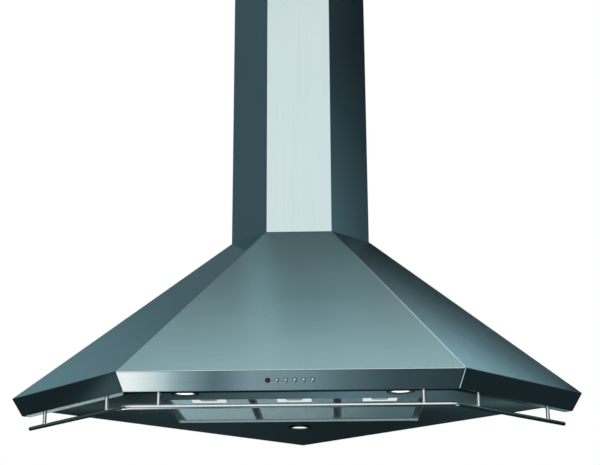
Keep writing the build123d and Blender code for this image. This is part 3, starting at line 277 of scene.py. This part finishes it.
# %% Cards behind, beside and in front
cards = [
    # the left slope
    card("card_behind", (-4, 1.3, -1.5), (8, 0, 0), (0, 0, 5.2),
         graded(TEAL, [(1.6, 0.05), (2.4, 0.3), (3.3, 0.3), (4.4, 0.1), (5.2, 0.05)]),
         graded(WHITE, [(2.4, 0.78), (2.7, 0.64), (2.9, 0.5), (3.1, 0.42), (3.4, 0.4),
                        (4.4, 0.05), (5.6, 0.2)])),
    # the right slope, and the rounded seam at its front
    card("card_right_slope", (-0.227, 1.25, 1.91), (1.8, 0, -0.756), (0.1935, 0, 0.461),
         graded(TEAL, [(0, 0.01), (0.08, 0.015), (0.12, 0.03), (0.15, 0.06), (0.18, 0.11),
                       (0.215, 0.21), (0.24, 0.31), (0.28, 0.44), (0.33, 0.6), (0.4, 0.7)],
                fade=0.15),
         graded(WHITE, [(0.8, 0.35), (1.15, 0.7), (1.45, 1)])),
    card("card_right_fold", (0.45, 1.24, 2.3), (1.3, 0, 0), (0, 0, 0.7),
         to_white(SKY, 1, 0.7), graded(WHITE, [(0, 0.1), (0.3, 0.3), (0.7, 1)]), 2.2),
    # the chimney's two turned sides
    card("card_left", (-2.7, -2.4, -1.5), (0, 3.7, 0), (0, 0, 6.7),
         graded(TEAL, [(0.8, 0.022), (2.0, 0.083), (2.8, 0.1)]), EVEN),
    card("card_right", (2.7, 1.3, -1.5), (0, -3.7, 0), (0, 0, 6.7),
         graded(TEAL, [(1.5, 0.018), (2.7, 0.22), (3.1, 0.17), (3.6, 0.085), (4.0, 0.05)]),
         graded(WHITE, [(1.1, 1), (1.3, 0.1), (1.47, 0.1), (1.63, 1)])),
    # the rail and its posts
    card("card_right_front", (2.7, -2.4, -1.1), (-1.7, -2.8, 0), (0, 0, 4.3),
         to_white(TEAL, 0.015, 4.3), EVEN),
    card("card_left_front", (-1.1, -3.2, -1.1), (-1.6, 0.8, 0), (0, 0, 2.6),
         to_white(TEAL, 0.015, 2.6), EVEN),
    card("card_front", (1.8, -3.0, -1.1), (-3.0, 0, 0), (0, 0, 1.3),
         to_white(TEAL, 0.05, 1.3), EVEN),
]
print("cards", len(cards))

# %% [markdown]
# The front slope mirrors what is above, and the leaning fascia, the rail and the mesh of the filters
# mirror what is below. The card below stands for a bright table under the hood: it has a bright band
# left of its middle and is dark at both ends.

# %% Cards above and below
cards += [
    # the front slope
    card("card_above", (-2.5, 1.3, 3.7), (5, 0, 0), (0, -4.8, 0),
         graded(SKY, [(0, 0.045), (0.25, 0.12), (0.5, 0.36), (0.85, 0.85), (2.2, 0.85),
                      (2.65, 0.42), (3.1, 0.12), (3.7, 0.03)]),
         graded(WHITE, [(0.55, 0.06), (1.0, 0.4), (1.35, 1), (3.45, 1), (3.8, 0.4), (4.3, 0.06)])),
    # the fascia, the rail and the mesh
    card("card_below", (-2.8, -3.0, -1.1), (5.6, 0, 0), (0, 4.2, 0),
         graded(WHITE, [(1.22, 0.2), (1.3, 1), (1.64, 1), (1.7, 0.2), (2.05, 0.2), (2.2, 1)]),
         graded(TEAL, [(0.1, 0.013), (0.35, 0.018), (0.43, 0.04), (0.47, 0.065), (0.6, 0.065),
                       (0.8, 0.02), (1.6, 0.02), (1.72, 0.87), (2.22, 0.86), (2.265, 0.74),
                       (2.33, 0.55), (2.37, 0.34), (2.5, 0.13), (2.62, 0.28), (2.8, 0.23),
                       (2.95, 0.125), (3.1, 0.065), (3.4, 0.03), (4.6, 0.016)], fade=1.25), 1.4),
    # the left filter's mesh
    card("card_left_filter", (-1.5, -0.7, -1.085), (0.6, 0, 0), (0, 0.75, 0), EVEN,
         graded(WHITE, [(0.4, 1), (0.6, 0.7)]), 1.9),
    # the rounded seam at the right of the fascia
    card("card_right_seam", (0.9, -1.5, -1.09), (0.7, 0, 0), (0, 0.6, 0),
         to_white(SKY, 0.9, 0.6), EVEN),
]
print("cards", len(cards))

# %% [markdown]
# The underside is seen nearly edge on, so it mirrors what stands close behind the hood. Two cards
# stand there, one above the other and brightest where they meet. Each has its own shares across,
# which one tall card couldn't have. A narrow third one lights the flange under the left side.

# %% Cards close to the hood
cards += [
    card("card_low", (-2.0, 0.12, -1.0), (4, 0, 0), (0, 0, 0.865),
         graded(TEAL, [(0.77, 0.01), (0.797, 0.01), (0.82, 0.43)]),
         graded(WHITE, [(1.15, 0.07), (1.46, 0.06), (1.72, 0.21), (2.0, 0.38), (2.14, 0.5),
                        (2.24, 0.45), (2.44, 0.28), (2.55, 0.1), (2.7, 0.1), (2.8, 0.5)])),
    card("card_mid", (-2.0, 0.12, -0.135), (4, 0, 0), (0, 0, 0.135),
         graded(TEAL, [(0, 1), (0.02, 0.2)]),
         graded(WHITE, [(1.25, 0.09), (1.38, 0.12), (1.48, 0.15), (1.76, 0.14), (2.0, 0.1),
                        (2.24, 0.085), (2.43, 0.12), (2.62, 0.19)])),
    card("card_flange", (-0.585, 0.11, -0.214), (-0.31, 0, 0.075), (0.0034, 0, 0.014),
         to_white(TEAL, 0.7, 0.0144), EVEN),
]
print("cards", len(cards))

# %% [markdown]
# The canopy's three sheets meet at two corner seams, where the metal is slightly round. A bevel could
# round them, but the CAD pieces keep their mesh, so the finish does it. Close to a seam it turns the
# facing of the sheet towards its neighbour, and the light then slides round the corner. A seam stands
# in an upright plane, so how far a point is from it follows from the point's X and Y alone.

# %% Rounded corner seams
SEAM_TURN = math.radians(22.5)  # half the turn from one sheet to the next in plan
SEAM_OFFSET = 33.9 * MM  # from the line where the walls meet to the seams' planes
SEAM_ROUND = 1.9 * MM


def round_seams(tree, place, turn):
    """Turn the sheet's facing towards its neighbour close to the two corner seams."""
    side = add(tree, "ShaderNodeMath", {0: place.outputs["X"]}, operation="ABSOLUTE")
    out = add(tree, "ShaderNodeMath",
              {0: side.outputs[0], 1: math.cos(SEAM_TURN), 2: SEAM_OFFSET},
              operation="MULTIPLY_ADD")
    past = add(tree, "ShaderNodeMath",
               {0: place.outputs["Y"], 1: math.sin(SEAM_TURN), 2: out.outputs[0]},
               operation="MULTIPLY_ADD")
    gap = add(tree, "ShaderNodeMath", {0: past.outputs[0]}, operation="ABSOLUTE")
    angle = add(tree, "ShaderNodeMapRange",
                {"Value": gap.outputs[0], "From Max": SEAM_ROUND, "To Min": turn, "To Max": 0.0})
    hand = add(tree, "ShaderNodeMath", {0: place.outputs["X"]}, operation="SIGN")
    swing = add(tree, "ShaderNodeMath", {0: angle.outputs[0], 1: hand.outputs[0]},
                operation="MULTIPLY")
    facing = add(tree, "ShaderNodeNewGeometry")
    turned = add(tree, "ShaderNodeVectorRotate",
                 {"Vector": facing.outputs["Normal"], "Angle": swing.outputs[0]},
                 rotation_type="Z_AXIS")
    return turned.outputs[0]


print("seams rounded over", SEAM_ROUND / MM, "mm")

# %% [markdown]
# The canopy and chimney are brushed stainless sheet: a belt draws fine parallel scratches along the
# sheet, which blur reflections and leave faint streaks. A picture of scratches could be laid on, but
# it would repeat. A noise that is long along the grain and narrow across it never does, and it gives
# the streaks, a little relief and a little change of gloss. Real scratches are a tenth of a
# millimetre wide, too fine to show here, so they are drawn a few millimetres wide and faint.

# %% Brushed stainless steel
GRAIN_LENGTH = 420 * MM
GRAIN_WIDTH = 3 * MM
DRIFT_SIZE = 400 * MM
SCRATCH_DEPTH = 0.3 * MM
SCRATCH_SHARE = 0.01  # how much of that depth shows
SCRATCH_GLOSS = (0.95, 1.05)  # roughness in and beside a scratch, as shares
NOISE_LOW, NOISE_HIGH = 0.3, 0.7  # most of a noise lies between these
SUM_LOW, SUM_HIGH = 0.7, 1.3  # and most of the sum of two between these
FASCIA_HEIGHT = 40.5 * MM
FOLD_BLEND = 1 * MM
HIGHLIGHT_LINE_METAL = 0.2  # share of metal left on the painted highlight line
HIGHLIGHT_LINE_BLEND = 0.2 * MM


def brushed_steel(name, dark, light, grain_axis, turn=0.0, gloss=(0.18, 0.18), seam_turn=0.0,
                  painted_highlight_from=None):
    """Brushed sheet between two tones, with its grain along X or Z and turned about Z.

    Gloss is the roughness below the fold at the top of the fascia and above it. Behind the last place
    given, if there is one, the sheet is made mostly non-metallic, so the even light from all sides
    makes it pale there: a painted highlight line."""
    material, tree = new_material(name)
    coords = add(tree, "ShaderNodeTexCoord")
    size = [GRAIN_LENGTH if axis == grain_axis else GRAIN_WIDTH for axis in "XYZ"]
    lie = add(tree, "ShaderNodeMapping",
              {"Vector": coords.outputs["Object"], "Rotation": (0, 0, turn), "Scale": size},
              vector_type="TEXTURE")
    grain = add(tree, "ShaderNodeTexNoise",
                {"Vector": lie.outputs[0], "Scale": 1.0, "Detail": 5.0, "Roughness": 0.65})
    drift = add(tree, "ShaderNodeTexNoise",
                {"Vector": coords.outputs["Object"], "Scale": 1 / DRIFT_SIZE, "Detail": 2.0})
    share = add(tree, "ShaderNodeMath", {0: grain.outputs[0], 1: drift.outputs[0]},
                operation="ADD")
    tone = add(tree, "ShaderNodeMapRange",
               {"Value": share.outputs[0], "From Min": SUM_LOW, "From Max": SUM_HIGH})
    colour = add(tree, "ShaderNodeValToRGB", {"Fac": tone.outputs[0]},
                 [(0.0, dark), (1.0, light)])

    place = add(tree, "ShaderNodeSeparateXYZ", {0: coords.outputs["Object"]})
    satin = add(tree, "ShaderNodeMapRange",
                {"Value": place.outputs["Z"], "From Min": FASCIA_HEIGHT - FOLD_BLEND,
                 "From Max": FASCIA_HEIGHT + FOLD_BLEND, "To Min": gloss[0], "To Max": gloss[1]})
    scratch = add(tree, "ShaderNodeMapRange",
                  {"Value": grain.outputs[0], "From Min": NOISE_LOW, "From Max": NOISE_HIGH,
                   "To Min": SCRATCH_GLOSS[0], "To Max": SCRATCH_GLOSS[1]})
    rough = add(tree, "ShaderNodeMath", {0: satin.outputs[0], 1: scratch.outputs[0]},
                operation="MULTIPLY")
    relief = add(tree, "ShaderNodeBump",
                 {"Height": grain.outputs[0], "Strength": SCRATCH_SHARE,
                  "Distance": SCRATCH_DEPTH})
    if seam_turn:
        tree.links.new(round_seams(tree, place, seam_turn), relief.inputs["Normal"])
    steel = add(tree, "ShaderNodeBsdfPrincipled",
                {"Base Color": colour.outputs[0], "Metallic": 1.0, "Roughness": rough.outputs[0],
                 "Normal": relief.outputs[0]})
    # Behind that place the metal is turned down, which paints a pale highlight line.
    if painted_highlight_from is not None:
        bright = add(tree, "ShaderNodeMapRange",
                     {"Value": place.outputs["Y"], "From Min": painted_highlight_from - HIGHLIGHT_LINE_BLEND,
                      "From Max": painted_highlight_from, "To Min": 1.0, "To Max": HIGHLIGHT_LINE_METAL})
        tree.links.new(bright.outputs[0], steel.inputs["Metallic"])
    add(tree, "ShaderNodeOutputMaterial", {"Surface": steel.outputs[0]})
    return material


print("grain", GRAIN_WIDTH / MM, "mm wide and", GRAIN_LENGTH / MM, "mm long")

# %% [markdown]
# Each sheet was brushed before it was cut and folded, so its grain follows its own long edge: along
# the front, at 45 degrees along each side, and upright on the chimney. One material for all would let
# the grain run across the seams, so every direction gets its own.

# %% Sheets of the canopy and chimney
STEEL_DARK, STEEL_LIGHT = "#CDDADB", "#D9E5E6"
SIDE_ANGLE = math.radians(45)

# The fascia below the fold mirrors clearly, and the slope above it blurs what it mirrors.
FRONT_GLOSS, SIDE_GLOSS = (0.08, 0.26), (0.08, 0.14)
canopy_front_steel = brushed_steel(
    "brushed stainless, front sheet", STEEL_DARK, STEEL_LIGHT, "X", gloss=FRONT_GLOSS,
    seam_turn=SEAM_TURN)
canopy_left_steel = brushed_steel(
    "brushed stainless, left sheet", STEEL_DARK, STEEL_LIGHT, "X", -SIDE_ANGLE, SIDE_GLOSS,
    -SEAM_TURN)
canopy_right_steel = brushed_steel(
    "brushed stainless, right sheet", STEEL_DARK, STEEL_LIGHT, "X", SIDE_ANGLE, SIDE_GLOSS,
    -SEAM_TURN)
# An even satin sheen with upright streaks.
chimney_steel = brushed_steel("brushed stainless, upright grain", "#CCDDDF", "#D3E3E5", "Z")
# As clear a mirror as the fascia.
underside_steel = brushed_steel(
    "brushed stainless, underside", STEEL_DARK, STEEL_LIGHT, "X", gloss=(0.08, 0.08))
print("sheet steels", len([m for m in bpy.data.materials if m.name.startswith("brushed")]))

# %% [markdown]
# The sheets at the back are zinc-coated by dipping. As the zinc sets, it grows crystal patches called
# spangle, and air dulls it. Cells of a Voronoi pattern have the look of such crystals, since those
# also grow from points until they meet.

# %% Zinc-coated sheet
SPANGLE_SIZE = 14 * MM
ZINC_BARE = 0.4  # share of bright metal under the dull oxide


def spangled_zinc(name, codes, gloss):
    """Dipped zinc, with a tone and a roughness for each crystal."""
    material, tree = new_material(name)
    coords = add(tree, "ShaderNodeTexCoord")
    patches = add(tree, "ShaderNodeTexVoronoi",
                  {"Vector": coords.outputs["Object"], "Scale": 1 / SPANGLE_SIZE})
    patch_tone = add(tree, "ShaderNodeSeparateColor", {0: patches.outputs["Color"]})
    colour = add(tree, "ShaderNodeValToRGB", {"Fac": patch_tone.outputs[0]},
                 [(0.0, codes[0]), (1.0, codes[1])])
    rough = add(tree, "ShaderNodeMapRange",
                {"Value": patch_tone.outputs[1], "To Min": gloss[0], "To Max": gloss[1]})
    zinc = add(tree, "ShaderNodeBsdfPrincipled",
               {"Base Color": colour.outputs[0], "Metallic": ZINC_BARE,
                "Roughness": rough.outputs[0]})
    add(tree, "ShaderNodeOutputMaterial", {"Surface": zinc.outputs[0]})
    return material


# A dull grey patchwork that glints here and there.
galvanised = spangled_zinc("galvanised steel", ("#989FA0", "#AEB5B6"), (0.32, 0.5))
print("spangle", SPANGLE_SIZE / MM, "mm")

# %% [markdown]
# The other metals are plainer. Chrome has almost no texture but carries faint smears, and aluminium
# and plated steel are soft and satin. A plain colour would look like a screen, so one soft noise
# changes the tone and the gloss a little, at the size that smears and satin have.

# %% Chrome, aluminium and plated steel
SMEAR_SIZE = 25 * MM
SATIN_SIZE = 2.5 * MM
SATIN_DEPTH = 0.05 * MM


def smeared_metal(name, codes, gloss, size, relief_depth=0.0):
    """Metal with a soft change of tone and gloss over a real size, and a relief if it has one."""
    material, tree = new_material(name)
    coords = add(tree, "ShaderNodeTexCoord")
    smear = add(tree, "ShaderNodeTexNoise",
                {"Vector": coords.outputs["Object"], "Scale": 1 / size, "Detail": 3.0})
    colour = add(tree, "ShaderNodeValToRGB", {"Fac": smear.outputs[0]},
                 [(NOISE_LOW, codes[0]), (NOISE_HIGH, codes[1])])
    rough = add(tree, "ShaderNodeMapRange",
                {"Value": smear.outputs[0], "From Min": NOISE_LOW, "From Max": NOISE_HIGH,
                 "To Min": gloss[0], "To Max": gloss[1]})
    metal = add(tree, "ShaderNodeBsdfPrincipled",
                {"Base Color": colour.outputs[0], "Metallic": 1.0, "Roughness": rough.outputs[0]})
    if relief_depth:
        relief = add(tree, "ShaderNodeBump",
                     {"Height": smear.outputs[0], "Strength": 0.2, "Distance": relief_depth})
        tree.links.new(relief.outputs[0], metal.inputs["Normal"])
    add(tree, "ShaderNodeOutputMaterial", {"Surface": metal.outputs[0]})
    return material


# Bright but slightly milky.
zinc_plated = smeared_metal(
    "bright zinc plating", ("#B9BEBC", "#CDD1CE"), (0.22, 0.34), SATIN_SIZE)
# A nearly white mirror.
chrome = smeared_metal("polished chrome", ("#EAF0F0", "#F4F8F8"), (0.05, 0.1), SMEAR_SIZE)
# A greyer mirror: a darker copy of the chrome, painted shade that keeps the buttons from shining
# white.
button_chrome = smeared_metal("chrome darkened for painted shade", ("#D6DEDF", "#E0E7E8"), (0.05, 0.09), SMEAR_SIZE)
# Chrome with its colour darkened: a painted dark reflection that draws a black ring round each lamp.
shade_darkened_chrome = smeared_metal(
    "chrome darkened for painted dark reflections", ("#2B3336", "#353E41"), (0.08, 0.14), SMEAR_SIZE)
# Brushed satin. The tray's rear wall is made mostly non-metallic, so it shows as a pale line behind
# the filters: a painted highlight.
TRAY_WALL = 12.2 * MM  # from the tray's rear edge to just in front of its rear wall
TRAY_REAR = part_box("filter_tray")[1].y - TRAY_WALL
tray_steel = brushed_steel(
    "stainless channel", "#C8D6D8", "#D2DEE0", "Z", gloss=(0.34, 0.34), painted_highlight_from=TRAY_REAR)
# A broad pale sheen without clear reflections.
frame_aluminium = smeared_metal(
    "folded aluminium", ("#C6D5D7", "#D6E2E3"), (0.45, 0.55), SATIN_SIZE, SATIN_DEPTH)
# Cool grey with glints on the tilted strands.
mesh_aluminium = smeared_metal(
    "expanded aluminium mesh", ("#A0C2C7", "#B8D6DB"), (0.3, 0.42), SATIN_SIZE, SATIN_DEPTH)
# A smooth grey sheen.
can_aluminium = smeared_metal(
    "drawn aluminium can", ("#BCC3C5", "#CDD3D4"), (0.25, 0.33), SATIN_SIZE)
# Darker grey, half bright.
shaft_steel = smeared_metal("ground steel", ("#A7ABAD", "#B9BDBE"), (0.16, 0.24), SATIN_SIZE)
# Behind this Y the tray's rear wall carries the painted highlight line.
print("tray's matt wall behind Y", round(TRAY_REAR, 4), "m")

# %% [markdown]
# The hidden pieces are moulded plastic or enamelled steel. Plastic has a fine spark-eroded texture
# from its mould, which softens the gloss. Enamel has a slight orange-peel wave under a glossier skin.
# Both are a colour under a clear skin with a fine relief, so one function makes them at two sizes.
# The mould's texture is a few hundredths of a millimetre, too fine to show, so it is drawn coarser.

# %% Plastics and enamel
MOULD_TEXTURE = 1.2 * MM
MOULD_DEPTH = 0.08 * MM
FINE_MOULD_DEPTH = 0.06 * MM
PEEL_SIZE = 5 * MM
PEEL_DEPTH = 0.1 * MM
TINT_SIZE = 50 * MM


def skinned(name, codes, gloss, size, relief_depth, shine=0.5):
    """A skin over a colour that drifts slowly, with its texture at a real size and depth."""
    material, tree = new_material(name)
    coords = add(tree, "ShaderNodeTexCoord")
    texture = add(tree, "ShaderNodeTexNoise",
                  {"Vector": coords.outputs["Object"], "Scale": 1 / size, "Detail": 3.0})
    drift = add(tree, "ShaderNodeTexNoise",
                {"Vector": coords.outputs["Object"], "Scale": 1 / TINT_SIZE})
    colour = add(tree, "ShaderNodeValToRGB", {"Fac": drift.outputs[0]},
                 [(0.35, codes[0]), (0.65, codes[1])])
    rough = add(tree, "ShaderNodeMapRange",
                {"Value": texture.outputs[0], "From Min": NOISE_LOW, "From Max": NOISE_HIGH,
                 "To Min": gloss[0], "To Max": gloss[1]})
    relief = add(tree, "ShaderNodeBump",
                 {"Height": texture.outputs[0], "Strength": 0.3, "Distance": relief_depth})
    skin = add(tree, "ShaderNodeBsdfPrincipled",
               {"Base Color": colour.outputs[0], "Roughness": rough.outputs[0],
                "Specular IOR Level": shine, "Normal": relief.outputs[0]})
    add(tree, "ShaderNodeOutputMaterial", {"Surface": skin.outputs[0]})
    return material


# ABS takes the mould's texture sharply: an even, soft gloss.
black_plastic = skinned(
    "black moulded ABS", ("#16181A", "#1D1F21"), (0.45, 0.6), MOULD_TEXTURE, MOULD_DEPTH)
grey_plastic = skinned(
    "grey moulded ABS", ("#6F7577", "#7C8284"), (0.42, 0.55), MOULD_TEXTURE, MOULD_DEPTH)
# Polycarbonate is harder and shinier.
white_plastic = skinned(
    "white moulded polycarbonate", ("#D6D9D8", "#E2E5E4"), (0.35, 0.48), MOULD_TEXTURE,
    FINE_MOULD_DEPTH)
# Nylon is almost matt.
handle_plastic = skinned(
    "pale moulded nylon", ("#ECF4F5", "#F4FAFB"), (0.6, 0.7), MOULD_TEXTURE, FINE_MOULD_DEPTH, 0.2)
latch_plastic = skinned(
    "grey moulded nylon", ("#8E9C9E", "#9AA7A9"), (0.5, 0.6), MOULD_TEXTURE, FINE_MOULD_DEPTH)
# Polypropylene has a waxy shine.
wheel_plastic = skinned(
    "black moulded polypropylene", ("#1F2123", "#27292B"), (0.38, 0.5), MOULD_TEXTURE, MOULD_DEPTH)
scroll_plastic = skinned(
    "dark moulded polypropylene", ("#2A2C2E", "#333537"), (0.4, 0.52), MOULD_TEXTURE, MOULD_DEPTH)
# Stoved enamel is glossy, and its wave breaks up the highlights.
motor_enamel = skinned(
    "grey stoved enamel", ("#5B6062", "#666B6D"), (0.25, 0.38), PEEL_SIZE, PEEL_DEPTH)
print("materials", len(bpy.data.materials))

# %% [markdown]
# A lamp's lens is glass frosted by etching, and it glows evenly when the lamp is lit. A lamp behind
# real glass would need many samples to come through, so the lens itself gives the light. The frosting
# is a fine grain of small cells, drawn coarser than it is.

# %% Frosted lens
FROST_SIZE = 1.6 * MM
FROST_DEPTH = 0.1 * MM
FROST_GLOW = (1.05, 0.85)  # in the middle of a cell and at its edge

# Evenly bright, with a grain that shows only close up.
lens_glass, tree = new_material("frosted glass")
coords = add(tree, "ShaderNodeTexCoord")
frost = add(tree, "ShaderNodeTexVoronoi",
            {"Vector": coords.outputs["Object"], "Scale": 1 / FROST_SIZE})
glow = add(tree, "ShaderNodeMapRange",
           {"Value": frost.outputs["Distance"], "To Min": FROST_GLOW[0], "To Max": FROST_GLOW[1]})
relief = add(tree, "ShaderNodeBump",
             {"Height": frost.outputs["Distance"], "Strength": 0.3, "Distance": FROST_DEPTH})
glass = add(tree, "ShaderNodeBsdfPrincipled",
            {"Base Color": linear("#EEF4F4"), "Roughness": 0.35,
             "Emission Color": linear("#F7FBFB"), "Emission Strength": glow.outputs[0],
             "Normal": relief.outputs[0]})
add(tree, "ShaderNodeOutputMaterial", {"Surface": glass.outputs[0]})
print("frosting", FROST_SIZE / MM, "mm")

# %% [markdown]
# The bulbs sit behind the lenses. A bulb is blown glass with a faint haze inside, and a warm light in
# it. Glass that only partly lets light through is enough for a piece that shows so little.

# %% Bulb glass
HAZE_GLOSS = (0.05, 0.25)

# Half clear, with a warm glow.
bulb_glass, tree = new_material("bulb glass")
coords = add(tree, "ShaderNodeTexCoord")
haze = add(tree, "ShaderNodeTexNoise",
           {"Vector": coords.outputs["Object"], "Scale": 1 / SATIN_SIZE})
cloud = add(tree, "ShaderNodeMapRange",
            {"Value": haze.outputs[0], "To Min": HAZE_GLOSS[0], "To Max": HAZE_GLOSS[1]})
glass = add(tree, "ShaderNodeBsdfPrincipled",
            {"Base Color": linear("#F4F4EE"), "Roughness": cloud.outputs[0],
             "Transmission Weight": 0.7, "Emission Color": linear("#FFF6E4"),
             "Emission Strength": 0.6})
add(tree, "ShaderNodeOutputMaterial", {"Surface": glass.outputs[0]})
print("bulb haze", SATIN_SIZE / MM, "mm")

# %% [markdown]
# The indicator is a dark red lens with a small red light in its middle. A second piece could be the
# light, but it would lie inside the lens. A round gradient, centred on the lens's front face, lights
# the middle of the one piece instead. The face looks along the fascia's normal, which follows from
# the fascia's height and lean.

# %% Indicator lens
FASCIA_LEAN = 31 * MM
LENS_HALF_LENGTH = 3.5 * MM
INDICATOR_GLOW_RADIUS = 2.2 * MM

fascia_facing = Vector((0, -FASCIA_HEIGHT, -FASCIA_LEAN)).normalized()
low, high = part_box("indicator_lens")
lens_front = (low + high) / 2 + fascia_facing * LENS_HALF_LENGTH
# Nearly black at the rim, with a red spot.
indicator_red, tree = new_material("dark red indicator lens")
coords = add(tree, "ShaderNodeTexCoord")
centred = add(tree, "ShaderNodeMapping",
              {"Vector": coords.outputs["Object"], "Location": lens_front,
               "Scale": (INDICATOR_GLOW_RADIUS,) * 3}, vector_type="TEXTURE")
spot = add(tree, "ShaderNodeTexGradient", {"Vector": centred.outputs[0]},
           gradient_type="SPHERICAL")
colour = add(tree, "ShaderNodeValToRGB", {"Fac": spot.outputs[0]},
             [(0.0, "#0C0406"), (0.25, "#1A0509"), (0.6, "#D01226")])
lens = add(tree, "ShaderNodeBsdfPrincipled",
           {"Base Color": colour.outputs[0], "Roughness": 0.12,
            "Emission Color": colour.outputs[0], "Emission Strength": 0.6})
add(tree, "ShaderNodeOutputMaterial", {"Surface": lens.outputs[0]})
print("indicator at", [round(reach, 4) for reach in lens_front], "m")

# %% [markdown]
# Now every CAD piece gets its finish. Its mesh and place stay, and only the material in its slot
# changes. Pieces of one kind share the start of their names, so a table from such starts to finishes
# is shorter than one line per piece. The longest start that fits a piece is the one that counts.

# %% Finishes of the CAD pieces
FINISHES = {
    "canopy_front_panel": canopy_front_steel, "canopy_left_panel": canopy_left_steel,
    "canopy_right_panel": canopy_right_steel, "lower_chimney": chimney_steel,
    "upper_chimney": chimney_steel, "underside_panel": underside_steel,
    "filter_tray": tray_steel, "wall_panel": galvanised, "top_plate_screws": zinc_plated,
    "top_plate": galvanised, "chimney_wall_bracket": galvanised, "motor_bracket": galvanised,
    "utensil_rail": chrome, "rail_posts": chrome, "rail_nuts": zinc_plated,
    "collar_screws": zinc_plated, "switch_block": black_plastic, "button": button_chrome,
    "indicator_bezel": black_plastic, "indicator_lens": indicator_red,
    "outlet_collar": black_plastic, "damper_flap": grey_plastic, "scroll": scroll_plastic,
    "fan_shaft": shaft_steel, "fan_wheel": wheel_plastic, "fan_motor": motor_enamel,
    "terminal_box": grey_plastic, "cable_gland": black_plastic, "capacitor": can_aluminium,
    "lamp_transformer": white_plastic, "lamp_bulbs": bulb_glass,
}
for name in ("left", "middle", "right"):
    FINISHES[f"filter_{name}_frame"] = frame_aluminium
    FINISHES[f"filter_{name}_mesh"] = mesh_aluminium
    FINISHES[f"filter_{name}_handle"] = handle_plastic
    FINISHES[f"filter_{name}_latch"] = latch_plastic
for name in ("left", "right", "rear"):
    FINISHES[f"lamp_{name}_bezel"] = shade_darkened_chrome
    FINISHES[f"lamp_{name}_lens"] = lens_glass
    FINISHES[f"lamp_{name}_housing"] = galvanised
longest_first = sorted(FINISHES, key=len, reverse=True)
for node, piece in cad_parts.items():
    start = next(key for key in longest_first if node.startswith(key))
    piece.material_slots[0].material = FINISHES[start]
print("finished nodes", len(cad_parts))

# %% [markdown]
# A grease filter is a frame with sheets of expanded metal in it: a sheet is slit and pulled open, so
# it turns into diamonds whose strands lie tilted, and the tilt is what catches light from below. A
# picture of a mesh would lie flat and miss that. So one mesh of the pattern is modelled as two
# crossed strands, each a bar that is drawn out, tilted and turned.

# %% One strand
DIAMOND_LENGTH = 8 * MM
DIAMOND_WIDTH = 5 * MM
STRAND_WIDTH = 1.3 * MM
STRAND_THICKNESS = 0.4 * MM
STRAND_TILT = math.radians(40)
SHEET_DEPTH = 1.2 * MM


def add_strand(centre, length, heading):
    """One strand of the diamond: a flat bar tilted about its length, then turned in plan."""
    bpy.ops.mesh.select_all(action="DESELECT")
    bpy.ops.mesh.primitive_cube_add(size=1, location=centre)
    bpy.ops.transform.resize(
        value=(length, STRAND_WIDTH, STRAND_THICKNESS), center_override=centre)
    bpy.ops.transform.rotate(value=STRAND_TILT, orient_axis="X", center_override=centre)
    bpy.ops.transform.rotate(value=heading, orient_axis="Z", center_override=centre)


print("diamond", DIAMOND_LENGTH / MM, "by", DIAMOND_WIDTH / MM, "mm")

# %% [markdown]
# Arrays lay the crossed strands out in columns and rows, and a last array adds the second sheet near
# the back of the frame. Whole diamonds have to fill the frame, so their size is first fitted to it.

# %% Expanded metal in the filters
SHEETS = 2

for name in ("left", "middle", "right"):
    low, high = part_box(f"filter_{name}_mesh")
    room = high - low
    columns, rows = int(room.x / DIAMOND_LENGTH), int(room.y / DIAMOND_WIDTH)
    step_x, step_y = room.x / columns, room.y / rows
    centre = low + Vector((step_x / 2, step_y / 2, SHEET_DEPTH / 2))
    slant = math.atan2(step_y, step_x)
    length = math.hypot(step_x, step_y) - STRAND_WIDTH / 2

    bpy.ops.object.select_all(action="DESELECT")
    bpy.ops.object.add(type="MESH", location=(0, 0, 0))
    piece = bpy.context.object
    piece.name = f"filter_{name}_expanded_mesh"
    bpy.ops.object.mode_set(mode="EDIT")
    for heading in (slant, -slant):
        add_strand(centre, length, heading)
    bpy.ops.mesh.select_all(action="SELECT")
    bpy.ops.mesh.normals_make_consistent(inside=False)
    bpy.ops.object.mode_set(mode="OBJECT")

    to_back = (0, 0, room.z - SHEET_DEPTH)
    for count, offset in ((columns, (step_x, 0, 0)), (rows, (0, step_y, 0)), (SHEETS, to_back)):
        spread = piece.modifiers.new("rows of diamonds", "ARRAY")
        spread.use_relative_offset = False
        spread.use_constant_offset = True
        spread.count = count
        spread.constant_offset_displace = offset
        bpy.ops.object.modifier_apply(modifier=spread.name)
    piece.data.materials.append(mesh_aluminium)
    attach(piece, f"filter_{name}")
    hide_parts(f"filter_{name}_mesh")
    print(piece.name, columns, "by", rows, "diamonds")
